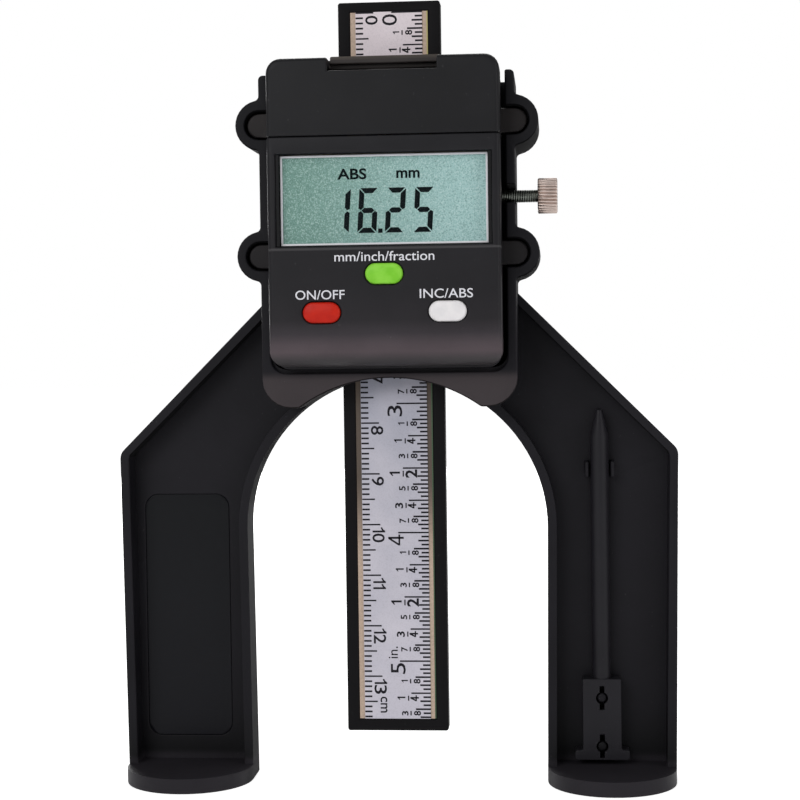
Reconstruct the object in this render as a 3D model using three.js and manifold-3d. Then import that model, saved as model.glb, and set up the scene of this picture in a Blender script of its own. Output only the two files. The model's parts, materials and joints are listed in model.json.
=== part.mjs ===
// Digital depth gauge: an arched plastic stand carries a display head, and a flat measuring beam
// slides up and down through the head. Millimetres, +Z up, viewer on the -Y side.
// Depths are measured from the flat back of the stand towards the viewer.
import * as THREE from "three";
import { mergeVertices } from "three/addons/utils/BufferGeometryUtils.js";
import Module from "manifold-3d";

const wasm = await Module();
wasm.setup();

// Stand: legs, arch and feet
const archRadius = 30.04;
const archSpringHeight = 50.8;
const legWidth = 25.75;
const innerLean = 0.45;
const outerLean = 0.8;
const shoulderRise = 15.1;
const shoulderRadius = 2.5;
const webThickness = 2;
const rimThickness = 1.8;
const rimDepth = 7.3;
const soleThickness = 2.95;
const footDepth = 20.3;
const footBackRadius = 1.2;

// Stand: cradle round the head, with its chin, posts and four ears
const cradleSetback = 0.68;
const cradleDrop = 2.04;
const cradleGap = 0.8;
const chinDrop = 5.69;
const chinRadius = 5.5;
const chinThickness = 2;
const chinGap = 0.5;
const chinRebateHeight = 0.75;
const chinRebateDepth = 1.3;
const postRadius = 0.9;
const earRadius = 4.85;
const earFillet = 0.9;
const earWall = 2.1;
const earCentreInset = 0.29;
const upperEarRise = 3.2;
const lowerEarRise = 21.39;

// Bare name plate on the left leg
const plateLow = 7.7;
const plateDrop = 8.7;
const plateInnerInset = 4.68;
const plateOuterInset = 3.77;
const plateRadius = 2.6;
const plateThickness = 0.3;
const plateRecess = 0.5;

// Foot magnets
const magnetRadius = 4;
const magnetThickness = 2;
const magnetPocketDepth = 2.2;
const magnetSpacing = 12;
const magnetGap = 0.1;

// Depth stack of the head, from the back
const headBackGap = 3.2;
const backPlateThickness = 3;
const beamClearance = 0.3;
const partitionThickness = 2.2;
const bayDepth = 5;
const coverDepth = 6.92;

// Head housing and cover
const coverHalfWidth = 22;
const coverCornerRadius = 2.8;
const coverEdgeRadius = 0.9;
const coverWall = 1.5;
const rollHeight = 6.5;
const rollDepth = 5.6;
const housingInset = 0.3;
const housingWall = 1.6;
const lugGap = 0.4;
const lugAdvance = 0.3;
const lugThickness = 3.3;
const lugSetback = 1.63;
const collarRise = 1.9;
const collarReach = 0.8;
const lipRise = 0.1;
const lipGrooveHeight = 0.8;
const lipGrooveDepth = 1.5;
const collarThickness = 2;

// Battery compartment
const doorRoom = 1.7;
const doorRailDepth = 2;
const doorGap = 0.15;
const notchHalfWidth = 10.35;
const notchDrop = 2.55;
const runnerWidth = 0.8;
const runnerLength = 5.5;
const hookReach = 0.6;
const hookThickness = 0.7;
const hookDrop = 0.5;
const cellRadius = 5.8;
const cellThickness = 5;
const cellGap = 0.25;
const cupWall = 1;
const cupDepth = 2.4;
const cellStepShare = 0.25;
const cellStepRadiusShare = 0.85;
const contactThickness = 0.25;
const contactWidth = 3;
const contactDiscShare = 0.6;

// Display
const windowSideMargin = 1.6;
const windowHalfHeight = 8.7;
const windowRise = 5.3;
const windowHeadroom = 3.2;
const lensThickness = 1;
const lensGap = 0.1;
const lcdSideGap = 0.75;
const lcdEndGap = 0.2;
const lcdFrameRing = 0.5;
const lcdFrameBorder = 0.4;
const lcdFrameSkirt = 0.3;
const lcdThickness = 1.6;
const lcdGap = 0.05;
const zebraWidth = 1.2;
const zebraInset = 1.6;

// Circuit boards
const displayBoardThickness = 1.2;
const displayBoardMargin = 1.2;
const boardDrop = 0.5;
const boardPostRadius = 1.8;
const boardPostInset = 2.4;
const contactRoom = 0.33;
const sensorBoardThickness = 1;
const sensorBoardHalfWidth = 9.2;
const sensorBoardHalfLength = 20;
const sensorLedge = 1;
const headerHalfWidth = 5;
const headerWidth = 2.5;
const headerDrop = 2.4;
const chipSize = 6.4;
const chipThickness = 1;
const chipGap = 2.2;

// Buttons and their switches
const buttonLength = 7.1;
const buttonHeight = 3.9;
const buttonProud = 0.8;
const buttonTravel = 0.6;
const buttonGap = 0.12;
const buttonFlange = 0.6;
const buttonFlangeThickness = 0.8;
const buttonEdge = 0.35;
const lowerButtonHeight = 10.3;
const upperButtonRise = 7.2;
const switchScrewGap = 1.3;
const switchSize = 4.4;
const switchHeight = 2.3;
const stemRadius = 0.85;
const stemReach = 0.6;

// Measuring beam
const beamShift = 0.26;
const beamHalfWidth = 9.97;
const beamThickness = 3.98;
const beamLength = 142.9;
const beamTipHeight = 11.05;
const beamEdgeRadius = 0.5;
const beamLowBorder = 2.4;
const beamHighBorder = 1.95;
const scaleBoardHalfWidth = 7.55;
const scaleBoardThickness = 0.8;
const scaleLabelInset = 0.75;
const scaleLabelThickness = 0.15;

// Beam guide and lock
const gibThickness = 0.8;
const gibRunning = 0.15;
const gibLength = 44;
const gibSpringRoom = 0.8;
const gibSpringThickness = 0.25;
const gibEndGap = 0.4;
const lockDrop = 13.94;
const lockPadLength = 2.2;
const lockPadHalfHeight = 2.5;
const lockPadTravel = 0.5;
const lockShaftRadius = 1.2;
const lockNutLength = 4;
const lockNutHalfHeight = 2.2;
const lockNotchHalfWidth = 1.7;
const knobRadius = 3.45;
const knobLength = 3.85;
const knobStandoff = 4.18;
const knobFluteDepth = 0.3;
const knobFlutes = 26;
const fluteShares = [0, 0.3, 0.5, 0.8];
const knobSocketDepth = 2;

// Stored depth probe, its pegs and its clip
const probeInset = 10.39;
const probeBase = 4;
const probeBlockHalfWidth = 3.8;
const probeBlockTop = 20.2;
const probeBlockThickness = 4;
const probeFootHalfWidth = 5.4;
const probeFootHeight = 1.95;
const probeGap = 0.3;
const probeRodRadius = 1.85;
const probeTipRise = 8.1;
const probeTaperLength = 5.6;
const probeTipRadius = 0.65;
const pegRadius = 0.93;
const pegSpacing = 9.7;
const lowerPegRise = 2.7;
const pegShortfall = 0.4;
const keyholeRadius = 1.2;
const keyholeSlotHalfWidth = 0.48;
const keyholeSlotHalfLength = 2.35;
const clipRibDrop = 5.6;
const clipRibHeight = 3.2;
const clipRibThickness = 0.8;
const clipRibDepth = 3.2;

// Screws
const screwGap = 0.15;
const earScrewHeadRadius = 2;
const earScrewHeadThickness = 1.5;
const earScrewShankRadius = 1.1;
const earScrewGrip = 6;
const earScrewBite = 1.9;
const caseScrewHeadRadius = 1.7;
const caseScrewHeadThickness = 1.2;
const caseScrewShankRadius = 0.9;
const caseScrewBite = 3;
const caseBossRadius = 1.9;
const caseBossDepth = 4.2;
const caseScrewInset = 4.6;
const lowerCaseScrewRise = 5.2;
const upperCaseScrewRise = 3;
const boardScrewHeadRadius = 1.5;
const boardScrewHeadThickness = 0.9;
const boardScrewShankRadius = 0.7;
const boardScrewBite = 2.5;

// Fits and overruns shared by all cuts
const seatGap = 0.05;
const overrun = 1;

// Round surfaces
const fullTurn = Math.PI * 2;
const quarterTurn = Math.PI / 2;
const archSegments = 48;
const arcStep = Math.PI / 12;
const rodSides = 18;
const screwSides = 12;
const rollSegments = 8;
const bowSteps = 12;
const lonelyEdgeShare = 0.98;
const sharedEdgeShare = 0.5;

// Heights and half widths worked out from the sizes above
const archTop = archSpringHeight + archRadius;
const shoulderHeight = archSpringHeight + shoulderRise;
const legOuter = archRadius + legWidth;
const footInner = archRadius - innerLean;
const footOuter = legOuter - outerLean;
const chinBottom = archTop - chinDrop;
const coverBottom = archTop + rimThickness + chinGap;
const lowerButtonZ = coverBottom + lowerButtonHeight;
const upperButtonZ = lowerButtonZ + upperButtonRise;
const windowCentre = upperButtonZ + windowRise + windowHalfHeight;
const doorLine = windowCentre + windowHalfHeight + windowHeadroom;
const doorHeight = cellRadius * 2 + coverWall + doorRoom;
const coverTop = doorLine + doorHeight;
const cradleTop = coverTop - cradleDrop;
const cradleInner = coverHalfWidth + cradleGap;
const cradleHalfWidth = cradleInner + rimThickness;
const slopeTop = shoulderHeight + legOuter - cradleHalfWidth;
const housingHalfWidth = coverHalfWidth - housingInset;
const housingBottom = archTop + rimThickness + seatGap;
const housingTop = coverTop - housingInset;
const cavityHalfWidth = coverHalfWidth - coverWall;
const windowHalfWidth = coverHalfWidth - windowSideMargin;
const earX = cradleHalfWidth - earCentreInset;
const earPocketRadius = earRadius - earWall;
const lugRadius = earPocketRadius - lugGap;
const lugX = earX + lugAdvance;
const upperEarHeight = doorLine + upperEarRise;
const lowerEarHeight = coverBottom + lowerEarRise;
const lockHeight = upperEarHeight - lockDrop;
const sensorCentre = (housingBottom + housingTop) / 2;
const boardLow = coverBottom + lowerCaseScrewRise + caseBossRadius + seatGap * 4;
const boardHigh = doorLine - coverWall - displayBoardMargin / 2;
const boardHalfWidth = cavityHalfWidth - displayBoardMargin;
const cellZ = (doorLine + coverTop - coverWall) / 2;
const lowerButtonX = boardHalfWidth - boardPostInset - boardScrewHeadRadius - switchSize / 2 - switchScrewGap;
const plateHigh = shoulderHeight - plateDrop;
const plateNear = archRadius + plateInnerInset;
const plateFar = legOuter - plateOuterInset;
const probeCentre = archRadius + probeInset;
const probeTip = shoulderHeight + probeTipRise;
const probeShoulder = probeTip - probeTaperLength;
const clipRibLow = shoulderHeight - clipRibDrop;

// Depths worked out from the sizes above
const backPlateBack = webThickness + headBackGap;
const channelFloor = backPlateBack + backPlateThickness;
const beamBack = channelFloor + beamClearance;
const beamFront = beamBack + beamThickness;
const channelRoof = beamFront + beamClearance;
const partitionFront = channelRoof + partitionThickness;
const headSplit = partitionFront + bayDepth;
const cradleDepth = headSplit - cradleSetback;
const earBossDepth = headSplit - lugSetback - lugThickness - seatGap;
const coverFront = headSplit + coverDepth;
const coverInside = coverFront - coverWall;
const boardBack = headSplit - boardDrop;
const boardFront = boardBack + displayBoardThickness;
const lcdFrameFront = coverInside - seatGap;
const lcdFront = lcdFrameFront - lcdFrameRing - seatGap;
const lcdBack = lcdFront - lcdThickness;
const railDepth = headSplit + doorRailDepth;
const cellFront = coverInside - cellGap;
const cellBack = cellFront - cellThickness;
const rearContactBack = cellBack - contactThickness - seatGap;
const bedFront = rearContactBack - seatGap;
const flangeFront = coverInside - seatGap * 2;
const flangeBack = flangeFront - buttonFlangeThickness;
const switchBack = boardFront + seatGap;
const switchFront = switchBack + switchHeight;
const lockDepth = (beamBack + beamFront) / 2;
const overallDepth = coverFront + buttonProud;
const backPlane = overallDepth / 2;

// Places across the beam channel, which lies a little to the right of the middle
const beamLeft = beamShift - beamHalfWidth;
const beamRight = beamShift + beamHalfWidth;
const channelRight = beamRight + beamClearance;
const gibFace = beamLeft - gibRunning;
const gibBack = gibFace - gibThickness;
const channelLeft = gibBack - gibSpringRoom;
const padEnd = channelRight + lockPadLength;
const lockNutLeft = (padEnd + lockPadTravel + housingHalfWidth - lockNutLength) / 2;
const knobLeft = cradleHalfWidth + knobStandoff;

const black = { color: 0x1c1c1e, roughness: 0.6, metalness: 0 };
const charcoal = { color: 0x2a292c, roughness: 0.4, metalness: 0 };
const panelBlack = { color: 0x17181f, roughness: 0.35, metalness: 0 };
const steel = { color: 0xb8b4b0, roughness: 0.35, metalness: 0.9 };
const brass = { color: 0xc09a4a, roughness: 0.35, metalness: 0.9 };
const boardGreen = { color: 0x1f6a3a, roughness: 0.5, metalness: 0 };
const labelSilver = { color: 0xcfcfdc, roughness: 0.4, metalness: 0.1 };
const displayGreen = { color: 0x8fb5ae, roughness: 0.2, metalness: 0 };
const white = { color: 0xe8e8e8, roughness: 0.45, metalness: 0 };
const clear = { color: 0xd8e6e4, roughness: 0.05, metalness: 0, transparent: true, opacity: 0.3 };
const green = { color: 0x6fca2c, roughness: 0.4, metalness: 0 };
const red = { color: 0xd02a1e, roughness: 0.4, metalness: 0 };
const rubberGrey = { color: 0x6f7072, roughness: 0.7, metalness: 0 };

// A closed three.js geometry as a solid that can be joined and cut
function solidOf(geometry) {
  const shell = geometry.clone();
  shell.deleteAttribute("normal");
  shell.deleteAttribute("uv");
  const merged = mergeVertices(shell);
  const triangles = Uint32Array.from(merged.index.array);
  const vertices = Float32Array.from(merged.attributes.position.array);
  return new wasm.Manifold(new wasm.Mesh({ numProp: 3, vertProperties: vertices, triVerts: triangles }));
}

function join(...solids) {
  return solids.reduce((whole, piece) => whole.add(piece));
}

function cut(solid, ...tools) {
  return tools.reduce((rest, tool) => rest.subtract(tool), solid);
}

function named(name, look, solid) {
  const { vertProperties, triVerts } = solid.getMesh();
  const geometry = new THREE.BufferGeometry();
  geometry.setAttribute("position", new THREE.BufferAttribute(vertProperties, 3));
  geometry.setIndex(new THREE.BufferAttribute(triVerts, 1));
  geometry.computeVertexNormals();
  const mesh = new THREE.Mesh(geometry, new THREE.MeshStandardMaterial(look));
  mesh.name = name;
  return mesh;
}

function arcPoints(centreX, centreZ, radius, from, to, segments) {
  const points = [];
  for (let step = 0; step <= segments; step += 1) {
    const angle = THREE.MathUtils.lerp(from, to, step / segments);
    points.push([centreX + radius * Math.cos(angle), centreZ + radius * Math.sin(angle)]);
  }
  return points;
}

// One corner of an outline, rounded as far as its two edges leave room
function roundedCorner(corner, before, after) {
  const [x, z, radius = 0] = corner;
  const tip = new THREE.Vector2(x, z);
  if (radius <= 0) return [tip];
  const reachOf = ([, , nextRadius = 0], edge) =>
    edge.length() * (nextRadius > 0 ? sharedEdgeShare : lonelyEdgeShare);
  const back = new THREE.Vector2(before[0] - x, before[1] - z);
  const ahead = new THREE.Vector2(after[0] - x, after[1] - z);
  const room = Math.min(reachOf(before, back), reachOf(after, ahead));
  const halfAngle = Math.acos(back.dot(ahead) / back.length() / ahead.length()) / 2;
  const reach = Math.min(radius / Math.tan(halfAngle), room);
  const start = tip.clone().addScaledVector(back.normalize(), reach);
  const end = tip.clone().addScaledVector(ahead.normalize(), reach);
  const bisector = back.add(ahead).normalize();
  const centre = tip.clone().addScaledVector(bisector, reach / Math.cos(halfAngle));
  const from = start.clone().sub(centre).angle();
  let sweep = end.clone().sub(centre).angle() - from;
  if (sweep > Math.PI) sweep -= fullTurn;
  if (sweep < -Math.PI) sweep += fullTurn;
  const segments = Math.max(1, Math.ceil(Math.abs(sweep) / arcStep));
  const size = start.distanceTo(centre);
  return arcPoints(centre.x, centre.y, size, from, from + sweep, segments)
    .map(([pointX, pointZ]) => new THREE.Vector2(pointX, pointZ));
}

// Outline through [across, up, corner radius] points
function outline(corners) {
  const count = corners.length;
  const points = corners.flatMap((corner, index) =>
    roundedCorner(corner, corners[(index + count - 1) % count], corners[(index + 1) % count]));
  return new THREE.Shape(points);
}

// The points of a right half, followed by their mirror images
function bothSides(right) {
  const left = right.slice().reverse().filter(([x]) => x > 0).map(([x, z, radius]) => [-x, z, radius]);
  return outline([...right, ...left]);
}

function rectangle(left, right, low, high, radius = 0) {
  return outline([[left, low, radius], [right, low, radius], [right, high, radius], [left, high, radius]]);
}

function circle(x, z, radius, sides = rodSides) {
  return outline(arcPoints(x, z, radius, 0, fullTurn, sides).slice(1));
}

// A flat shape drawn as seen from the front, solid between two depths
function plate(shape, from, to) {
  const geometry = new THREE.ExtrudeGeometry(shape, { depth: to - from, bevelEnabled: false });
  geometry.rotateX(quarterTurn);
  geometry.translate(0, backPlane - from, 0);
  return solidOf(geometry);
}

// The same, with rounded edges, so that the back one ends one edge radius behind the first depth
function softPlate(shape, from, to, edge) {
  const geometry = new THREE.ExtrudeGeometry(shape, {
    depth: to - from - edge,
    bevelThickness: edge,
    bevelSize: edge,
    bevelOffset: -edge,
    bevelSegments: 3,
  });
  geometry.rotateX(quarterTurn);
  geometry.translate(0, backPlane - from, 0);
  return solidOf(geometry);
}

// A shape drawn as [depth, height], solid between two places across the gauge
function crossBar(shape, left, right) {
  const geometry = new THREE.ExtrudeGeometry(shape, { depth: right - left, bevelEnabled: false });
  const turn = new THREE.Matrix4().makeBasis(
    new THREE.Vector3(0, -1, 0), new THREE.Vector3(0, 0, 1), new THREE.Vector3(-1, 0, 0));
  geometry.applyMatrix4(turn);
  geometry.translate(right, backPlane, 0);
  return solidOf(geometry);
}

// A shape drawn as [across, depth], solid between two heights
function floorSlab(shape, low, high) {
  const geometry = new THREE.ExtrudeGeometry(shape, { depth: high - low, bevelEnabled: false });
  const turn = new THREE.Matrix4().makeBasis(
    new THREE.Vector3(1, 0, 0), new THREE.Vector3(0, -1, 0), new THREE.Vector3(0, 0, -1));
  geometry.applyMatrix4(turn);
  geometry.translate(0, backPlane, high);
  return solidOf(geometry);
}

function block(left, right, low, high, from, to) {
  return plate(rectangle(left, right, low, high), from, to);
}

function pin(x, z, radius, from, to, sides = rodSides) {
  return plate(circle(x, z, radius, sides), from, to);
}

function shaft(depth, z, radius, left, right, sides = rodSides) {
  return crossBar(circle(depth, z, radius, sides), left, right);
}

// Height of a circle about the arch's centre at a place across the gauge, and the reverse
function archHeightAt(x, radius) {
  return archSpringHeight + Math.sqrt(radius ** 2 - x ** 2);
}

function archHalfWidthAt(z, radius) {
  return Math.sqrt(radius ** 2 - (z - archSpringHeight) ** 2);
}

// Points of a circle about the arch's centre, from its top to a place further down on the right
function archCurve(radius, low) {
  const end = Math.asin((low - archSpringHeight) / radius);
  return arcPoints(0, archSpringHeight, radius, quarterTurn, end, archSegments / 2);
}

// Stand

function standOutline() {
  return bothSides([
    ...archCurve(archRadius, archSpringHeight),
    [footInner, 0],
    [footOuter, 0],
    [legOuter, shoulderHeight, shoulderRadius],
    [cradleHalfWidth, slopeTop],
    [cradleHalfWidth, cradleTop, postRadius],
  ]);
}

function cradleOutline() {
  return bothSides([
    ...archCurve(archRadius, chinBottom),
    [cradleHalfWidth, chinBottom, chinRadius],
    [cradleHalfWidth, cradleTop, postRadius],
  ]);
}

// The space between the cradle's side walls, above the arch's rim
function cradleSpace() {
  const floor = chinBottom + rimThickness;
  return bothSides([
    ...archCurve(archRadius + rimThickness, floor),
    [cradleInner, floor, chinRadius - rimThickness],
    [cradleInner, cradleTop + overrun],
  ]);
}

// The opening above the chin, from a given height upwards
function mouth(low) {
  return outline([
    [-cradleInner, low, coverCornerRadius],
    [cradleInner, low, coverCornerRadius],
    [cradleInner, cradleTop + overrun],
    [-cradleInner, cradleTop + overrun],
  ]);
}

function cradleHollow() {
  const mouthLow = coverBottom - chinGap;
  const chinBack = cradleDepth - chinThickness;
  return join(
    plate(cradleSpace(), webThickness, chinBack),
    plate(mouth(mouthLow), chinBack - overrun, cradleDepth + overrun),
    plate(mouth(mouthLow - chinRebateHeight), cradleDepth - chinRebateDepth, cradleDepth + overrun),
  );
}

// Tray in the right leg: the rim stands round it and the web is its floor
function legTray() {
  const ring = archRadius + rimThickness;
  const near = archHalfWidthAt(chinBottom, ring);
  const slope = shoulderHeight + legOuter - rimThickness * Math.SQRT2;
  const tray = outline([
    [footInner + rimThickness, soleThickness],
    [footOuter - rimThickness, soleThickness],
    [legOuter - rimThickness, slope - legOuter + rimThickness, shoulderRadius / 2],
    [near, slope - near],
    ...archCurve(ring, archSpringHeight).filter(([x]) => x > near),
  ]);
  return plate(tray, webThickness, rimDepth + overrun);
}

function onOtherSide(solid) {
  return solid.mirror([1, 0, 0]);
}

// Right ear: a round loop that flows into the cradle's side wall
function earOutline(z) {
  const filletX = cradleHalfWidth + earFillet;
  const filletRise = Math.sqrt((earRadius + earFillet) ** 2 - (filletX - earX) ** 2);
  const slant = Math.atan2(filletRise, filletX - earX);
  const fillet = arcPoints(filletX, z - filletRise, earFillet, Math.PI, Math.PI - slant, 5);
  const loop = arcPoints(earX, z, earRadius, -slant, slant, 14);
  const upperFillet = fillet.map(([x, filletZ]) => [x, 2 * z - filletZ]).reverse();
  const inside = cradleHalfWidth - rimThickness / 2;
  const low = z - filletRise;
  return outline([[inside, low], ...fillet, ...loop.slice(1, -1), ...upperFillet, [inside, 2 * z - low]]);
}

function earPocket(z) {
  const shape = outline([
    [cradleInner - overrun, z - earPocketRadius],
    ...arcPoints(lugX, z, earPocketRadius, -quarterTurn, quarterTurn, 10),
    [cradleInner - overrun, z + earPocketRadius],
  ]);
  return plate(shape, earBossDepth, cradleDepth + overrun);
}

function earScrewHole(z) {
  const seat = earBossDepth - earScrewGrip;
  return join(
    pin(lugX, z, earScrewHeadRadius + screwGap, -overrun, seat),
    pin(lugX, z, earScrewShankRadius + screwGap, seat - overrun, earBossDepth + overrun),
  );
}

function footPlate() {
  const radius = (footOuter - footInner) / 2;
  const centre = (footOuter + footInner) / 2;
  const shape = outline([
    [footInner, 0, footBackRadius],
    [footOuter, 0, footBackRadius],
    ...arcPoints(centre, footDepth - radius, radius, 0, Math.PI, 26),
  ]);
  return floorSlab(shape, 0, soleThickness);
}

function magnetPlaces() {
  const centre = (footOuter + footInner) / 2;
  const middle = footDepth / 2;
  return [-1, 1].flatMap((side) => [-1, 1].map((end) => [side * centre + end * magnetSpacing / 2, middle]));
}

function magnetDisc(place, radius, thickness, low) {
  return floorSlab(circle(place[0], place[1], radius), low, low + thickness);
}

function probePegs() {
  return [0, 1].map((step) => pegAt(step));
}

function pegAt(step) {
  const z = probeBase + lowerPegRise + step * pegSpacing;
  const top = webThickness + probeGap + probeBlockThickness - pegShortfall;
  return pin(probeCentre, z, pegRadius, webThickness - overrun, top);
}

function clipRib(side) {
  const near = probeCentre + side * (probeRodRadius + probeGap);
  const far = near + side * clipRibThickness;
  return block(Math.min(near, far), Math.max(near, far), clipRibLow, clipRibLow + clipRibHeight,
    webThickness - overrun, webThickness + clipRibDepth);
}

function lockNotch() {
  return join(
    shaft(lockDepth, lockHeight, lockNotchHalfWidth, cradleInner - overrun, cradleHalfWidth + overrun),
    block(cradleInner - overrun, cradleHalfWidth + overrun,
      lockHeight - lockNotchHalfWidth, lockHeight + lockNotchHalfWidth, lockDepth, cradleDepth + overrun),
  );
}

function beamSlot() {
  return block(beamLeft - beamClearance * 2, beamRight + beamClearance * 2,
    archSpringHeight, archTop + rimThickness + overrun,
    beamBack - beamClearance * 2, beamFront + beamClearance * 2);
}

function standFrame() {
  const cradle = plate(cradleOutline(), 0, cradleDepth);
  const ears = [upperEarHeight, lowerEarHeight];
  const earLoops = ears.map((z) => plate(earOutline(z), 0, cradleDepth));
  const tray = legTray().subtract(cradle);
  const foot = footPlate();
  const legs = cut(
    plate(standOutline(), 0, rimDepth),
    tray,
    onOtherSide(tray),
    plate(cradleSpace(), webThickness, rimDepth + overrun),
  );
  const feet = [foot, onOtherSide(foot)];
  const loops = [...earLoops, ...earLoops.map(onOtherSide)];
  const clips = [-1, 1].map(clipRib);
  const body = join(legs, cradle.subtract(cradleHollow()), ...feet, ...loops, ...probePegs(), ...clips);
  const earCuts = ears.flatMap((z) => [earPocket(z), earScrewHole(z)]);
  const pockets = magnetPlaces().map((place) =>
    magnetDisc(place, magnetRadius + magnetGap, magnetPocketDepth + overrun, -overrun));
  const plateSeat = plate(platePanel(0), webThickness - plateRecess, webThickness + overrun);
  const earHollows = [...earCuts, ...earCuts.map(onOtherSide)];
  const frame = cut(body, ...earHollows, ...pockets, plateSeat, lockNotch(), beamSlot());
  return named("stand_frame", black, frame);
}

function platePanel(inset) {
  return rectangle(-plateFar + inset, -plateNear - inset, plateLow + inset, plateHigh - inset, plateRadius);
}

function namePlate() {
  const floor = webThickness - plateRecess + seatGap;
  return named("name_plate", panelBlack, plate(platePanel(seatGap), floor, floor + plateThickness));
}

function footMagnets() {
  return magnetPlaces().map((place, index) => {
    const low = magnetPocketDepth - magnetThickness - seatGap;
    return named(`foot_magnet_${index + 1}`, steel, magnetDisc(place, magnetRadius, magnetThickness, low));
  });
}

// Head housing, with the beam channel at its back and the circuit bay at its front

function casePlaces() {
  const x = coverHalfWidth - caseScrewInset;
  return [
    [-x, coverBottom + lowerCaseScrewRise],
    [x, coverBottom + lowerCaseScrewRise],
    [-x, doorLine + upperCaseScrewRise],
    [x, doorLine + upperCaseScrewRise],
  ];
}

function boardPostPlaces() {
  const x = boardHalfWidth - boardPostInset;
  const low = boardLow + boardPostInset;
  const high = windowCentre - windowHalfHeight - boardPostInset;
  return [[-x, low], [x, low], [-x, high], [x, high]];
}

function lug(z) {
  const shape = outline([
    [housingHalfWidth - overrun, z - lugRadius],
    ...arcPoints(lugX, z, lugRadius, -quarterTurn, quarterTurn, 12),
    [housingHalfWidth - overrun, z + lugRadius],
  ]);
  const back = earBossDepth + seatGap;
  const pilotDepth = earScrewBite + screwGap * 2;
  return cut(
    plate(shape, back, back + lugThickness),
    pin(lugX, z, earScrewShankRadius + screwGap, back - overrun, back + pilotDepth),
  );
}

function beamChannel(high) {
  return block(channelLeft, channelRight, housingBottom - overrun, high, channelFloor - overrun, channelRoof);
}

function sensorWindow() {
  const half = sensorBoardHalfWidth + seatGap;
  const length = sensorBoardHalfLength + seatGap;
  const seat = channelRoof + sensorBoardThickness + seatGap;
  const innerHalf = half - sensorLedge;
  return join(
    block(beamShift - half, beamShift + half, sensorCentre - length, sensorCentre + length,
      channelRoof - overrun, seat),
    block(beamShift - innerHalf, beamShift + innerHalf, sensorCentre - length + sensorLedge,
      sensorCentre + length - sensorLedge, seat - overrun, partitionFront + overrun),
  );
}

function lockPockets() {
  const padHigh = lockPadHalfHeight + beamClearance;
  const nutHigh = lockNutHalfHeight + seatGap;
  return join(
    block(channelRight - overrun, padEnd + lockPadTravel, lockHeight - padHigh, lockHeight + padHigh,
      channelFloor - overrun, channelRoof),
    block(lockNutLeft - seatGap, lockNutLeft + lockNutLength + seatGap,
      lockHeight - nutHigh, lockHeight + nutHigh, channelFloor - overrun, channelRoof),
    shaft(lockDepth, lockHeight, lockShaftRadius + screwGap * 2, channelRight, housingHalfWidth + overrun),
  );
}

function headHousing() {
  const blank = plate(
    rectangle(-housingHalfWidth, housingHalfWidth, housingBottom, housingTop, coverCornerRadius - housingInset),
    channelFloor, headSplit - seatGap);
  const collar = block(-notchHalfWidth - collarReach, notchHalfWidth, housingTop - coverWall, coverTop + collarRise,
    channelRoof, channelRoof + collarThickness);
  const inner = housingHalfWidth - housingWall;
  const bay = plate(
    rectangle(-inner, inner, housingBottom + housingWall, housingTop - housingWall, housingWall),
    partitionFront, headSplit + overrun);
  const posts = boardPostPlaces().map(([x, z]) =>
    pin(x, z, boardPostRadius, partitionFront - overrun, boardBack - seatGap));
  const bosses = casePlaces().map(([x, z]) =>
    pin(x, z, caseBossRadius, partitionFront - overrun, headSplit - seatGap));
  const cupRadius = cellRadius + cellGap + cupWall;
  const bed = pin(0, cellZ, cupRadius, partitionFront - overrun, Math.min(bedFront, headSplit - seatGap));
  const drum = pin(0, cellZ, cupRadius, partitionFront - overrun, bedFront + cupDepth)
    .intersect(block(-coverHalfWidth, coverHalfWidth, doorLine + cellGap, coverTop - coverWall - cellGap,
      partitionFront - overrun, bedFront + cupDepth));
  const cup = cut(
    drum,
    pin(0, cellZ, cellRadius + cellGap, bedFront, bedFront + cupDepth + overrun),
    block(0, cellRadius * 2, cellZ - contactWidth, cellZ + contactWidth,
      bedFront, bedFront + cupDepth + overrun),
    block(-contactWidth, contactWidth, doorLine - overrun, cellZ, bedFront, bedFront + cupDepth + overrun),
  );
  const lugs = [upperEarHeight, lowerEarHeight].map(lug);
  const shell = cut(join(blank, collar), bay);
  const body = join(shell, ...posts, ...bosses, bed, cup, ...lugs, ...lugs.map(onOtherSide));
  const boardHoles = boardPostPlaces().map(([x, z]) =>
    pin(x, z, boardScrewShankRadius + screwGap, boardBack - boardScrewBite - screwGap * 2, headSplit));
  const caseHoles = casePlaces().map(([x, z]) =>
    pin(x, z, caseScrewShankRadius + screwGap, channelFloor - overrun, headSplit + overrun));
  const channel = beamChannel(coverTop + collarRise + overrun);
  const housing = cut(body, channel, sensorWindow(), lockPockets(), ...boardHoles, ...caseHoles);
  return named("head_housing", black, housing);
}

function headBackPlate() {
  const shape = rectangle(-housingHalfWidth, housingHalfWidth, housingBottom, housingTop,
    coverCornerRadius - housingInset);
  const holes = casePlaces().flatMap(([x, z]) => [
    pin(x, z, caseScrewShankRadius + screwGap, backPlateBack - overrun, channelFloor + overrun),
    pin(x, z, caseScrewHeadRadius + screwGap,
      backPlateBack - overrun, backPlateBack + caseScrewHeadThickness + seatGap),
  ]);
  return named("head_back_plate", black, cut(plate(shape, backPlateBack, channelFloor - seatGap), ...holes));
}

// Cover shell: a rounded front plate crossed with a side profile that rolls back at the bottom

function coverProfile(inset) {
  const low = coverBottom + inset;
  const front = coverFront - inset;
  const roll = [];
  for (let step = 0; step <= rollSegments; step += 1) {
    const angle = quarterTurn * step / rollSegments;
    roll.push([
      front - (rollDepth - inset) * (1 - Math.sin(angle)),
      low + (rollHeight - inset) * (1 - Math.cos(angle)),
    ]);
  }
  const back = inset > 0 ? headSplit - overrun : headSplit;
  const top = coverTop - inset;
  return outline([[back, low], ...roll, [front, top, coverEdgeRadius], [back, top]]);
}

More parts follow.
